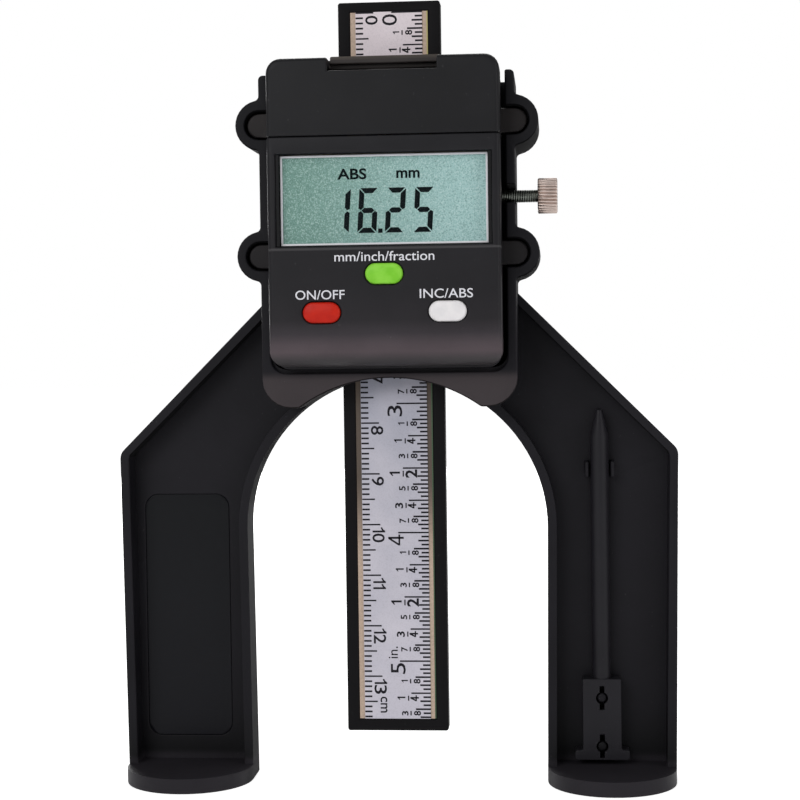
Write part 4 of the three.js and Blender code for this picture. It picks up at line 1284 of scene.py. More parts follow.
@dataclass
class Lettering:
    """Plain sans letters as flat outlines, which are scaled, turned and laid on a face.

    Attributes:
        weight: How far the strokes are fattened, as a share of the type size.
        fineness: Steps of each curve of a letter.
        figure_width: The width of a figure over its height.
        figure_gap: The space between two figures over their height.
        stem: The width of the figure one's stem over its height.
    """

    CAPITAL = 0.729

    weight: float = 0.012
    fineness: int = 3
    figure_width: float = 0.71
    figure_gap: float = 0.08
    stem: float = 0.135

    def outline(self, words: str) -> tuple[np.ndarray, list[list[int]]]:
        """Makes the words' flat mesh.

        Args:
            words: What is written.

        Returns:
            The points as X and Y rows in units of the height of a capital, starting at X 0, and the faces.
        """
        curve = bpy.data.curves.new("words", "FONT")
        curve.body = words
        curve.offset = self.weight
        curve.resolution_u = self.fineness
        mesh = evaluated(linked("words", curve))
        flat = Edges.read(mesh.vertices, "co", float).reshape(-1, 3)[:, :2]
        faces = [list(polygon.vertices) for polygon in mesh.polygons]
        bpy.data.curves.remove(curve)
        bpy.data.meshes.remove(mesh)
        flat = flat - (flat[:, 0].min(), 0.0)
        return flat / self.CAPITAL, faces

    def line(self, words: str, start: tuple[float, float], height: float, facing: Facing = Facing.LEVEL,
             length: float | None = None) -> tuple[np.ndarray, list[list[int]]]:
        """Lays a line of words in the X and Z plane.

        Args:
            words: What is written.
            start: X and Z of the start of its base line.
            height: The height of a capital in millimetres.
            facing: The way in which it runs.
            length: The line's length in millimetres, or None for the letters' own.

        Returns:
            X and Z rows in millimetres, and the faces.
        """
        flat, faces = self.outline(words)
        flat = flat * height
        if length is not None:
            flat = flat * (length / float(flat[:, 0].max()), 1.0)
        return self.lay(flat, start, facing, False), faces

    @staticmethod
    def lay(flat: np.ndarray, start: tuple[float, float], facing: Facing, centred: bool) -> np.ndarray:
        """Turns flat points into the X and Z plane, from start or with their middle there."""
        if centred:
            flat = flat - (float(flat[:, 0].max()) / 2, 0.0)
        along, up = (np.array(way) for way in facing.value)
        return np.array(start) + flat[:, :1] * along + flat[:, 1:] * up

    def one(self) -> tuple[np.ndarray, list[list[int]]]:
        """Gives a figure one with a flag, 1 high: its points and its single face."""
        right = 0.4
        left = right - self.stem
        points = np.array([(right, 0.0), (right, 1.0), (right - self.stem * 0.75, 1.0), (left - 0.04, 0.9),
                           (left - 0.13, 0.82), (0.0, 0.76), (0.0, 0.64), (left - 0.1, 0.69), (left, 0.76),
                           (left, 0.0)])
        return points, [list(range(len(points)))]

    def four(self) -> tuple[np.ndarray, list[list[int]]]:
        """Gives an open figure four, 1 high: a slanted stroke, a cross bar and a stem."""
        width, stem, bar = self.figure_width, self.stem, self.stem * 0.82
        right = width - stem * 1.1
        foot = 0.23
        slant = [(0.0, foot + bar), (right - stem, 1.0), (right, 1.0), (stem * 1.05, foot + bar)]
        points = slant + [(0.0, foot), (width, foot), (width, foot + bar), (0.0, foot + bar)]
        points += [(right - stem, 0.0), (right, 0.0), (right, 1.0), (right - stem, 1.0)]
        return np.array(points), [[0, 3, 2, 1], [4, 5, 6, 7], [8, 9, 10, 11]]

    def figures(self, number: int, start: tuple[float, float], height: float, facing: Facing,
                centred: bool = False) -> tuple[np.ndarray, list[list[int]]]:
        """Lays a number whose figures are equally wide but for the narrower one.

        Args:
            number: The number.
            start: X and Z of the start of its base line, or of the base line's middle.
            height: The figures' height in millimetres.
            facing: The way in which it runs.
            centred: Whether start is the middle.

        Returns:
            X and Z rows in millimetres, and the faces.
        """
        rows: list[np.ndarray] = []
        faces: list[list[int]] = []
        count, across = 0, 0.0
        for figure in str(number):
            if figure == "1":
                flat, rings = self.one()
            elif figure == "4":
                flat, rings = self.four()
            else:
                flat, rings = self.outline(figure)
                flat = flat * (self.figure_width / float(flat[:, 0].max()), 1.0)
            rows.append(flat + (across, 0.0))
            faces.extend([[corner + count for corner in ring] for ring in rings])
            count += len(flat)
            across += float(flat[:, 0].max()) + self.figure_gap
        return self.lay(np.concatenate(rows) * height, start, facing, centred), faces


class Print:
    """Flat printed shapes that are gathered into one mesh on a face of constant depth."""

    def __init__(self, depth: float) -> None:
        """Starts empty at a Y in millimetres."""
        self.depth = depth
        self.points: list[np.ndarray] = []
        self.faces: list[list[int]] = []
        self.count = 0

    def add(self, flat: np.ndarray, faces: Sequence[Sequence[int]]) -> None:
        """Adds X and Z rows and their faces."""
        self.points.append(np.asarray(flat, float))
        self.faces.extend([[corner + self.count for corner in face] for face in faces])
        self.count += len(flat)

    def bars(self, boxes: np.ndarray) -> None:
        """Adds rectangles, one for each row of left, right, low and high."""
        left, right, low, high = np.asarray(boxes, float).T
        flat = np.stack([left, low, right, low, right, high, left, high], axis=-1).reshape(-1, 2)
        self.add(flat, np.arange(len(flat)).reshape(-1, 4).tolist())

    def write(self, letters: Lettering, words: Sequence[Word]) -> None:
        """Adds level words."""
        for word in words:
            self.add(*letters.line(word.text, word.place, word.height, length=word.length))

    def make(self, name: str, finish: Finish, body: str, slot: str) -> bpy.types.Object:
        """Makes the mesh with its faces towards the viewer.

        Args:
            name: The object's name.
            finish: The ink.
            body: The body that it rides on.
            slot: Not used.

        Returns:
            The object.
        """
        flat = np.concatenate(self.points)
        points = np.stack([flat[:, 0], np.full(len(flat), self.depth), flat[:, 1]], axis=-1)
        turned = []
        for face in self.faces:
            ring = flat[face]
            after = np.roll(ring, -1, axis=0)
            area = float(np.sum(ring[:, 0] * after[:, 1] - after[:, 0] * ring[:, 1]))
            turned.append(face if area > 0 else face[::-1])
        made = Shape.piece(name, points, turned, finish, None)
        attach(made, body)
        return made


BLACK_INK = Ink("ink_black", linear(22, 20, 26), linear(90, 86, 92))
WHITE_INK = Ink("ink_white", linear(218, 218, 224), linear(120, 118, 124))
# Stand plastic: its ramp paints the soles' fronts lit and the tops of the feet in shade, and its chin colour
# is a painted sheen.
STAND_PLASTIC = Chinned("plastic_stand", linear(24, 23, 27), 0.5, 0.4, 0.3, 0.06, 0.1, None,
                        ((0.0, linear(41, 39, 43)), (3.7, linear(38, 36, 40)), (4.6, linear(18, 18, 20)),
                         (14.0, linear(23, 22, 26)), (60.0, linear(26, 25, 29)), (140.0, linear(21, 21, 24))),
                        linear(57, 52, 54))
# Painted edge highlight: the stand's rounded edges are paler, and paler still on the chin as painted sheen.
STAND_EDGE_HIGHLIGHT = Chinned("plastic_stand_edge_highlight", linear(54, 53, 57), 0.5, 0.4, 0.3, 0.06, 0.12,
                     chin=linear(66, 60, 63))
# Head plastic: its ramp paints a highlight along the collar's top edge.
HEAD_PLASTIC = Moulded("plastic_head", linear(26, 25, 28), 0.44, 0.3, 0.24, 0.05, 0.12, None,
                       ((80.0, linear(26, 25, 28)), (141.4, linear(40, 37, 37)), (142.6, linear(68, 63, 60)),
                        (143.4, linear(86, 80, 75))))
DOOR_PLASTIC = Moulded("plastic_door", linear(27, 27, 29), 0.44, 0.3, 0.24, 0.05, 0.12)
# Painted highlight on the door's rounded edges, strongest along the top edges by the notch.
DOOR_EDGE_HIGHLIGHT = Moulded("plastic_door_edge_highlight", linear(27, 27, 29), 0.44, 0.3, 0.24, 0.05, 0.16, None,
                    ((120.0, linear(34, 34, 36)), (136.5, linear(36, 36, 38)), (138.6, linear(140, 135, 130)),
                     (141.5, linear(160, 155, 150))))
# Cover plastic: its ramp paints a sheen on the lower roll and lightens the top lip, and its raised line is
# painted paler as a highlight.
COVER_PLASTIC = Moulded("plastic_cover", linear(32, 31, 33), 0.42, 0.3, 0.24, 0.05, 0.14, 105.4,
                        ((83.0, linear(46, 44, 46)), (84.4, linear(59, 56, 58)), (86.0, linear(80, 71, 75)),
                         (87.3, linear(74, 66, 70)), (89.4, linear(52, 48, 52)), (92.0, linear(34, 32, 35)),
                         (97.0, linear(29, 28, 31)), (136.0, linear(26, 26, 29)),
                         (140.5, linear(58, 54, 53))))
BEAM_PLASTIC = Moulded("plastic_beam", linear(13, 12, 14), 0.5, 0.3, 0.26, 0.04, 0.08)
PROBE_PLASTIC = Moulded("plastic_probe", linear(29, 28, 32), 0.42, 0.3, 0.3, 0.06, 0.14)
# Painted highlight on the probe's rounded edges.
PROBE_EDGE_HIGHLIGHT = Moulded("plastic_probe_edge_highlight", linear(50, 49, 52), 0.42, 0.3, 0.3, 0.06, 0.14)
DARK_PLASTIC = Moulded("plastic_header", linear(20, 20, 22), 0.4, 0.2, 0.2, 0.02)
GREY_RUBBER = Moulded("rubber_grey", linear(120, 120, 124), 0.7, 0.4, 0.18, 0.1)
SCREW_STEEL = Metal("steel_screw", linear(120, 120, 124), 0.32, (1.0, 0.2, 1.0), 0.3)
CELL_STEEL = Metal("steel_cell", linear(196, 196, 198), 0.22, (1.0, 1.0, 0.15), 0.15)
CONTACT_METAL = Metal("bronze_contact", linear(196, 176, 132), 0.28, (0.2, 1.0, 1.0), 0.3)
BRASS = Metal("brass", linear(196, 160, 84), 0.3, (1.0, 1.0, 0.1), 0.35)
MAGNET_NICKEL = Metal("nickel_magnet", linear(186, 184, 182), 0.25, (1.0, 1.0, 1.0), 0.25)
KNOB_NICKEL = Metal("nickel_knob", linear(188, 172, 164), 0.36, (0.12, 1.0, 1.0), 0.45)
SHAFT_STEEL = Threaded("steel_shaft", linear(112, 116, 110), 0.26, (1.0, 1.0, 1.0), 0.3)
KEY_GREEN = Key("key_green", linear(137, 210, 66), linear(118, 196, 44))
KEY_RED = Key("key_red", linear(190, 32, 12), linear(176, 24, 8))
KEY_WHITE = Key("key_white", linear(232, 229, 230), linear(220, 218, 220))


@dataclass
class Stand:
    """The arched stand with its name plate and the magnets in its soles."""

    edge: float = 0.35
    plate_edge: float = 0.1
    magnet_edge: float = 0.2
    magnets: int = 4

    def build(self) -> None:
        """Softens the moulding and the plate, and dresses the magnets."""
        Shape.soften("stand_frame", STAND_PLASTIC, self.edge, 3, worn=STAND_EDGE_HIGHLIGHT)
        film = Film("film_plate", linear(17, 17, 22), linear(17, 18, 21), 8.0, 57.0, 0.26, 0.05, 0.1)
        Shape.soften("name_plate", film, self.plate_edge, 2)
        for number in range(1, self.magnets + 1):
            Shape.soften(f"foot_magnet_{number}", MAGNET_NICKEL, self.magnet_edge)
        LOG.info("stand: frame, plate and magnets")


@dataclass
class Head:
    """The display head's mouldings, printed words and battery door."""

    edge: float = 0.3
    door_edge: float = 0.26
    ink_gap: float = 0.015
    words: tuple[Word, ...] = (
        Word("mm/inch/fraction", (-9.34, 103.05), 1.86, 18.85),
        Word("ON/OFF", (-16.85, 95.96), 1.8, 9.35),
        Word("INC/ABS", (6.67, 95.94), 1.8, 10.0),
    )

    def build(self) -> None:
        """Softens the four mouldings and prints the words by the keys."""
        Shape.soften("head_cover", COVER_PLASTIC, self.edge, 2)
        Shape.soften("battery_door", DOOR_PLASTIC, self.door_edge, 2, worn=DOOR_EDGE_HIGHLIGHT)
        Shape.soften("head_housing", HEAD_PLASTIC, self.edge, 2)
        Shape.soften("head_back_plate", HEAD_PLASTIC, self.edge, 2)
        face = float(corners("head_cover")[0][1])
        words = Print(face - self.ink_gap)
        words.write(Lettering(weight=0.004, fineness=4), self.words)
        words.make("key_words", WHITE_INK, "root", "button_white")
        LOG.info("head: cover, door, housing, back plate and words")


@dataclass
class Display:
    """The display: window, frame, panel and what it shows.

    Attributes:
        digit_width: A digit's width.
        digit_height: Its height.
        bar: The width of its bars.
        gap: Half of the space between two bars.
        tip: How blunt a bar's end is, over half of its width.
        slant: How far a digit leans to the right over its height.
        base: The height of the digits' lower ends.
        ink_gap: How far the print stands in front of the panel.
        clearance: How far the clear part of the window reaches over the frame.
        digits: The lit bars and the X of each digit.
        point: The left, right, low and high side of the decimal point.
        words: The words above the digits.
    """

    digit_width: float = 3.63
    digit_height: float = 8.45
    bar: float = 0.98
    gap: float = 0.09
    tip: float = 0.6
    slant: float = 0.065
    base: float = 108.4
    ink_gap: float = 0.02
    clearance: float = 0.02
    digits: tuple[tuple[str, float], ...] = (
        ("bc", -10.42), ("acdefg", -5.17), ("abdeg", 0.05), ("acdfg", 5.4))
    point: tuple[float, float, float, float] = (-1.2, -0.35, 108.36, 109.2)
    words: tuple[Word, ...] = (
        Word("ABS", (-8.82, 118.6), 2.02, 5.56),
        Word("mm", (2.37, 118.67), 2.12, 4.44),
    )

    def bar_outline(self, segment: Segment) -> np.ndarray:
        """Gives one bar of a digit before its slant.

        A bar between two corner points of the digit is a hexagon or a trapezoid: its outer side is the
        digit's outline, its inner side is a bar's width further in, and its ends are cut at 45 degrees.

        Args:
            segment: Which bar.

        Returns:
            X and Z rows, from the digit's lower left corner.
        """
        wide, tall, thick, gap = self.digit_width, self.digit_height, self.bar, self.gap
        middle, half = tall / 2, self.bar / 2
        inner, near = wide - thick, middle + gap + half
        outlines = {
            Segment.TOP: [(gap * 2, tall), (wide - gap * 2, tall), (inner - gap, tall - thick),
                          (thick + gap, tall - thick)],
            Segment.BOTTOM: [(gap * 2, 0), (thick + gap, thick), (inner - gap, thick), (wide - gap * 2, 0)],
            Segment.UPPER_RIGHT: [(wide, tall - gap * 2), (wide, middle + gap + half * self.tip),
                                  (wide - half, middle + gap), (inner, near), (inner, tall - thick - gap)],
            Segment.LOWER_RIGHT: [(wide, gap * 2), (inner, thick + gap), (inner, middle - gap - half),
                                  (wide - half, middle - gap), (wide, middle - gap - half * self.tip)],
            Segment.MIDDLE: [(half + gap, middle), (thick + gap, middle + half), (inner - gap, middle + half),
                             (wide - half - gap, middle), (inner - gap, middle - half),
                             (thick + gap, middle - half)],
        }
        for left, right in ((Segment.UPPER_LEFT, Segment.UPPER_RIGHT),
                            (Segment.LOWER_LEFT, Segment.LOWER_RIGHT)):
            outlines[left] = [(wide - x, z) for x, z in outlines[right]]
        return np.array(outlines[segment])

    def figure(self, shown: Print, bars: str, left: float) -> None:
        """Adds one digit.

        Args:
            shown: What it is added to.
            bars: The letters of its lit bars.
            left: X of its lower left corner.
        """
        for letter in bars:
            flat = self.bar_outline(Segment(letter))
            slanted = np.stack([left + flat[:, 0] + self.slant * flat[:, 1], self.base + flat[:, 1]], axis=-1)
            shown.add(slanted, [list(range(len(slanted)))])

    def build(self) -> None:
        """Dresses window, frame and panel and lays the digits on the panel."""
        low, high = corners("lcd_frame")
        middle = float(low[2] + high[2]) / 2
        window = Glazing("glazing", middle, float(high[0]) + self.clearance,
                         float(high[2] - low[2]) / 2 + self.clearance)
        Shape.soften("lcd_lens", window, 0.0)
        film = Film("film_frame", linear(238, 238, 243), linear(238, 238, 244), 106.0, 123.0, 0.4, 0.02)
        Shape.soften("lcd_frame", film, 0.06, 1)
        panel_low, panel_high = corners("lcd_panel")
        Shape.soften("lcd_panel", Liquid("liquid", linear(116, 155, 144), linear(164, 201, 199),
                                         float(panel_low[0]), float(panel_high[0])), 0.0)
        shown = Print(float(panel_low[1]) - self.ink_gap)
        for bars, left in self.digits:
            self.figure(shown, bars, left)
        shown.bars(np.array([self.point]))
        shown.write(Lettering(weight=0.026, fineness=4), self.words)
        ink = Ink("ink_display", linear(12, 20, 22), linear(30, 46, 46), 0.05)
        shown.make("display_digits", ink, "root", "lcd_glass")
        for node in ("zebra_strip_upper", "zebra_strip_lower"):
            Shape.soften(node, GREY_RUBBER, 0.1, 1)
        LOG.info("display: window, frame, panel and digits")


@dataclass
class Keys:
    """The three keys, each a crowned stadium on a flange with a stem behind.

    Attributes:
        crown: How far the middle of the face stands out.
        edge: The radius of the face's rounded edge.
        flange: How far the flange stands out round the cap.
        flange_front: Y of the flange's front.
        flange_thickness: The flange's thickness.
        stem: The stem's thickness.
        face: The first, the last and the count of the face's rings, as shares of the way to its middle.
    """

    crown: float = 0.25
    edge: float = 0.55
    flange: float = 0.6
    flange_front: float = -11.35
    flange_thickness: float = 0.8
    stem: float = 1.7
    face: tuple[float, float, int] = (0.15, 0.94, 6)

    def build(self) -> None:
        """Makes each key in the space of its node, and dresses the switches."""
        for colour, finish in (("green", KEY_GREEN), ("red", KEY_RED), ("white", KEY_WHITE)):
            self.key(colour, finish)
            Shape.soften(f"switch_{colour}", GREY_RUBBER, 0.12, 1)
        LOG.info("keys: green, red and white")

    def key(self, colour: str, finish: Finish) -> None:
        """Makes one key as a stack of stadium rings.

        Each ring is the stadium of the cap or the flange, inset by what the profile gives at its depth:
        the front edge is a quarter circle, and the crown falls by (inset / half height) squared.

        Args:
            colour: The key's colour, as in its node's name.
            finish: Its finish.
        """
        low, high = corners(f"button_{colour}")
        centre = (float(low[0] + high[0]) / 2, float(low[2] + high[2]) / 2)
        length = float(high[0] - low[0]) - 2 * self.flange
        height = float(high[2] - low[2]) - 2 * self.flange
        front, back = float(low[1]), float(high[1])
        flange_back = self.flange_front + self.flange_thickness
        turn = np.linspace(0, math.pi / 2, 7)
        inset = list(self.edge * (1 - np.cos(turn)))
        depth = list(front + self.crown + self.edge * (1 - np.sin(turn)))
        for share in np.linspace(*self.face):
            inset.append(self.edge + share * (height / 2 - self.edge))
            depth.append(front + self.crown * (1 - share) ** 2)
        broad, tall = length + 2 * self.flange, height + 2 * self.flange
        sizes = [(self.stem, self.stem, back), (self.stem, self.stem, flange_back),
                 (broad, tall, flange_back), (broad, tall, self.flange_front),
                 (length, height, self.flange_front)]
        sizes += [(length - 2 * step, height - 2 * step, place) for step, place in zip(inset, depth)]
        rings = [Shape.stadium(centre, *size) for size in sizes]
        made = Shape.rings(f"key_{colour}", np.stack(rings), finish)
        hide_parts(f"button_{colour}")
        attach(made, f"{colour}_button")


@dataclass(frozen=True)
class FractionPlace:
    """Where the parts of a printed fraction stand.

    Attributes:
        upper: X of the upper number's base line.
        upper_height: The upper number's height.
        bar: X of the bar's left side.
        lower: X of the lower number's base line.
        lower_height: The lower number's height.
        drop: How far the fraction's middle lies below its tick.
        length: The bar's length.
    """

    upper: float
    upper_height: float
    bar: float
    lower: float
    lower_height: float
    drop: float
    length: float


@dataclass(frozen=True)
class Caption:
    """Where a number or unit of a scale stands.

    Attributes:
        across: X of its base line.
        drop: How far it lies below its tick.
        height: Its height.
    """

    across: float
    drop: float
    height: float


@dataclass
class Beam:
    """The sliding beam with its board, label and printed scales.

    Attributes:
        zero: The height of both scales' zero.
        left: X of the metric ticks' left ends.
        right: X of the inch ticks' right ends.
        trim: How far the printed film is narrowed at its left and right.
        margins: How far in from the label's left side, and out from its right side, the board is gilt.
        stroke: The ticks' width.
        long_stroke: The width of the longer ticks.
        bar: The width of a fraction's bar.
        ink_gap: How far the print stands in front of the label.
        centimetres: The highest centimetre number.
        inches: The highest inch number.
        inch: An inch in millimetres.
        centimetre_number: The centimetre numbers' place.
        centimetre_unit: The centimetre unit's place.
        inch_number: The inch numbers' place.
        inch_unit: The inch unit's place.
        last_room: How far above the label's lower end the lowest fraction's tick may be.
        metric_ticks: The length of every so many millimetre ticks, the longest first.
        inch_ticks: The length of every so many 1/32 inch ticks, the longest first.
        fractions: The places of halves, quarters and eighths.
    """

    zero: float = 151.86
    left: float = -6.24
    right: float = 6.78
    trim: tuple[float, float] = (0.26, 0.34)
    margins: tuple[float, float] = (1.0, 0.5)
    stroke: float = 0.35
    long_stroke: float = 0.3
    bar: float = 0.25
    ink_gap: float = 0.012
    centimetres: int = 13
    inches: int = 5
    inch: float = 25.4
    centimetre_number: Caption = Caption(-4.3, 0.55, 2.5)
    centimetre_unit: Caption = Caption(-3.15, 4.05, 2.06)
    inch_number: Caption = Caption(1.83, 1.45, 3.05)
    inch_unit: Caption = Caption(0.36, -0.55, 2.05)
    last_room: float = 1.5
    metric_ticks: tuple[tuple[int, float], ...] = ((10, 3.5), (5, 2.5), (1, 1.45))
    inch_ticks: tuple[tuple[int, float], ...] = (
        (32, 6.02), (16, 4.94), (8, 3.84), (4, 2.98), (2, 2.08), (1, 1.46))
    fractions: tuple[tuple[int, FractionPlace], ...] = (
        (2, FractionPlace(1.27, 2.07, 1.78, 4.58, 2.33, 1.1, 1.15)),
        (4, FractionPlace(1.75, 1.58, 2.26, 4.40, 1.67, 1.0, 1.02)),
        (8, FractionPlace(2.28, 1.28, 2.7, 4.74, 1.37, 0.8, 0.9)),
    )

    def build(self) -> None:
        """Dresses the beam's nodes and prints both scales on the label."""
        Shape.soften("scale_beam", BEAM_PLASTIC, 0.3, 2)
        label_low, label_high = corners("scale_label")
        board = Laminate("laminate_scale", linear(58, 76, 57), linear(190, 168, 150), linear(182, 172, 116),
                         float(label_low[0]) + self.margins[0], float(label_high[0]) + self.margins[1])
        Shape.soften("scale_board", board, 0.0)
        # The label's colour turns darker and bluer towards the arch's top: painted shade under the chin.
        film = Film("film_label", linear(194, 191, 202), linear(216, 205, 210), 20.0, 150.0, 0.42, 0.16, 0.3,
                    ((0.24, linear(184, 182, 193)), (0.38, linear(168, 168, 180)),
                     (0.46, linear(158, 160, 175)), (0.8, linear(206, 196, 202))))
        Shape.trim(Shape.soften("scale_label", film, 0.0), self.trim)
        ink = Print(float(label_low[1]) - self.ink_gap)
        self.metric(ink, float(label_low[2]))
        self.imperial(ink, float(label_low[2]))
        ink.make("scale_print", BLACK_INK, "beam", "scale_label")
        Shape.soften("gib_strip", BRASS, 0.15)
        Shape.soften("gib_spring", CONTACT_METAL, 0.05, 1)
        LOG.info("beam: bar, board, label and scales")

    def ticks(self, lowest: float, step: float, reaches: tuple[tuple[int, float], ...],
              heavy: int) -> np.ndarray:
        """Gives the ticks of one scale from zero downwards.

        Args:
            lowest: Z of the label's lower end.
            step: The space from tick to tick.
            reaches: The length of every so many ticks, the longest first.
            heavy: Every so many ticks have the stroke of the longer ones.

        Returns:
            Rows of length, low side and high side.
        """
        count = np.arange(int((self.zero - lowest) // step) + 1)
        place = self.zero - count * step
        reach = np.select([count % every == 0 for every, _ in reaches], [length for _, length in reaches])
        half = np.where(count % heavy == 0, self.long_stroke, self.stroke) / 2
        return np.stack([reach, place - half, place + half], axis=-1)

    def metric(self, ink: Print, lowest: float) -> None:
        """Adds the millimetre ticks and the centimetre numbers at the left.

        Args:
            ink: What they are added to.
            lowest: Z of the label's lower end.
        """
        reach, below, above = self.ticks(lowest, 1.0, self.metric_ticks, 5).T
        start = np.full(len(reach), self.left)
        ink.bars(np.stack([start, start + reach, below, above], axis=-1))
        letters = Lettering(weight=0.01, fineness=3, stem=0.15)
        spot, unit = self.centimetre_number, self.centimetre_unit
        for number in range(self.centimetres + 1):
            place = (spot.across, self.zero - 10 * number - spot.drop)
            ink.add(*letters.figures(number, place, spot.height, Facing.DOWNWARDS))
        place = (unit.across, self.zero - 10 * self.centimetres - unit.drop)
        ink.add(*letters.line("cm", place, unit.height, Facing.DOWNWARDS))

    def imperial(self, ink: Print, lowest: float) -> None:
        """Adds the 1/32 inch ticks, the fractions and the inch numbers at the right.

        Args:
            ink: What they are added to.
            lowest: Z of the label's lower end.
        """
        reach, below, above = self.ticks(lowest, self.inch / 32, self.inch_ticks, 8).T
        end = np.full(len(reach), self.right)
        ink.bars(np.stack([end - reach, end, below, above], axis=-1))
        letters = Lettering(weight=0.003, fineness=3)
        spot, unit = self.inch_number, self.inch_unit
        for number in range(self.inches + 1):
            middle = (spot.across, self.zero - self.inch * number - spot.drop)
            ink.add(*letters.figures(number, middle, spot.height, Facing.UPWARDS, True))
        place = (unit.across, self.zero - self.inch * self.inches - unit.drop)
        ink.add(*letters.line("in.", place, unit.height, Facing.UPWARDS))
        for eighth in range(1, int((self.zero - lowest - self.last_room) // (self.inch / 8)) + 1):
            if eighth % 8:
                self.fraction(ink, eighth)

    def fraction(self, ink: Print, eighth: int) -> None:
        """Adds one fraction, its two numbers either side of a bar.

        Args:
            ink: What it is added to.
            eighth: How many eighths of an inch from zero.
        """
        shared = math.gcd(eighth, 8)
        above, below = eighth % 8 // shared, 8 // shared
        spot = dict(self.fractions)[below]
        height = self.zero - eighth * self.inch / 8 - spot.drop
        letters = Lettering(weight=0.024, fineness=2, stem=0.19)
        for number, base, size in ((above, spot.upper, spot.upper_height),
                                   (below, spot.lower, spot.lower_height)):
            ink.add(*letters.figures(number, (base, height), size, Facing.UPWARDS, True))
        half = spot.length / 2
        ink.bars(np.array([[spot.bar, spot.bar + self.bar, height - half, height + half]]))


@dataclass
class Lock:
    """The knurled knob with its shaft, nut and pad.

    Attributes:
        flutes: How many grooves run round the knob.
        flute_depth: Their depth.
        chamfer: The width of the chamfers at both ends.
        run_out: How far a plain ring reaches beside the bore and inside the chamfers.
        bore: The radius of the hole for the shaft.
        bore_depth: Its depth.
        ring: The width of the outer face's flat ring.
        slope: The width of the slope within it.
        dish: How deep the face within the slope lies.
        tip: The radius of the innermost ring of points.
        around: Points of each ring.
    """

    flutes: int = 30
    flute_depth: float = 0.28
    chamfer: float = 0.2
    run_out: float = 0.3
    bore: float = 1.27
    bore_depth: float = 2.0
    ring: float = 1.0
    slope: float = 0.15
    dish: float = 0.12
    tip: float = 0.05
    around: int = 320

    def build(self) -> None:
        """Makes the knob and dresses the rest."""
        self.knob()
        Shape.soften("lock_screw", SHAFT_STEEL, 0.12, 2)
        Shape.soften("lock_nut", BRASS, 0.2, 2)
        Shape.soften("lock_pad", BRASS, 0.2, 2)
        LOG.info("lock: knob, screw, nut and pad")

    def knob(self) -> None:
        """Makes the knob in the space of its node.

        At the angle t the radius is the profile's radius less the flute depth times
        (0.5 - 0.5 cos(flutes t)) squared, faded out on the chamfers and the end faces.
        """
        low, high = corners("lock_knob")
        left, right = float(low[0]), float(high[0])
        centre = ((float(low[1] + high[1])) / 2, float(low[2] + high[2]) / 2)
        radius = float(high[2] - low[2]) / 2
        profile = self.profile(left, right, radius)
        turn = circle(self.around)
        groove = self.flute_depth * (0.5 - 0.5 * np.cos(self.flutes * turn)) ** 2
        reach = profile[:, 1:2] - profile[:, 2:3] * groove[None, :]
        stack = np.stack([np.broadcast_to(profile[:, :1], reach.shape), centre[0] + reach * np.cos(turn),
                          centre[1] + reach * np.sin(turn)], axis=-1)
        made = Shape.rings("knurled_knob", stack, KNOB_NICKEL, smooth=50.0)
        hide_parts("lock_knob")
        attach(made, "lock_screw")

    def profile(self, left: float, right: float, radius: float) -> np.ndarray:
        """Gives the knob's half section, from the bore to the middle of the outer face.

        Args:
            left: X of the inner face.
            right: X of the outer face.
            radius: The knob's radius.

        Returns:
            Rows of X, radius and the share of the flutes' depth there.
        """
        cut = self.chamfer
        rim = ((0.0, cut + self.run_out, 0.0), (0.05, cut, 0.8), (cut * 0.6, cut * 0.3, 1.0), (cut, 0.0, 1.0))
        bottom = right - self.dish
        return np.array([
            (left + self.bore_depth, self.bore, 0.0), (left, self.bore, 0.0),
            (left, self.bore + self.run_out, 0.0),
            *((left + inwards, radius - drop, share) for inwards, drop, share in rim),
            *((right - inwards, radius - drop, share) for inwards, drop, share in reversed(rim)),
            (right, radius - self.ring, 0.0), (bottom, radius - self.ring - self.slope, 0.0),
            (bottom, self.tip, 0.0)])


@dataclass
class Inside:
    """What the mouldings hide: boards, chip, cell and contacts, and the stored probe."""

    def build(self) -> None:
        """Dresses each hidden node."""
        board = Laminate("laminate_board", linear(24, 92, 58))
        # Columns: node, finish, bevel width, bevel steps, and the finish of a painted edge highlight or None.
        table: tuple[tuple[str, Finish, float, int, Finish | None], ...] = (
            ("display_board", board, 0.1, 1, None),
            ("sensor_board", board, 0.1, 1, None),
            ("link_header", DARK_PLASTIC, 0.15, 1, None),
            ("controller_chip", DARK_PLASTIC, 0.15, 1, None),
            ("coin_cell", CELL_STEEL, 0.25, 3, None),
            ("cell_contact_rear", CONTACT_METAL, 0.05, 1, None),
            ("cell_contact_side", CONTACT_METAL, 0.05, 1, None),
            ("depth_probe", PROBE_PLASTIC, 0.3, 3, PROBE_EDGE_HIGHLIGHT),
        )
        for node, finish, edge, steps, worn in table:
            Shape.soften(node, finish, edge, steps, worn=worn)
        LOG.info("inside: boards, chip, cell, contacts and probe")


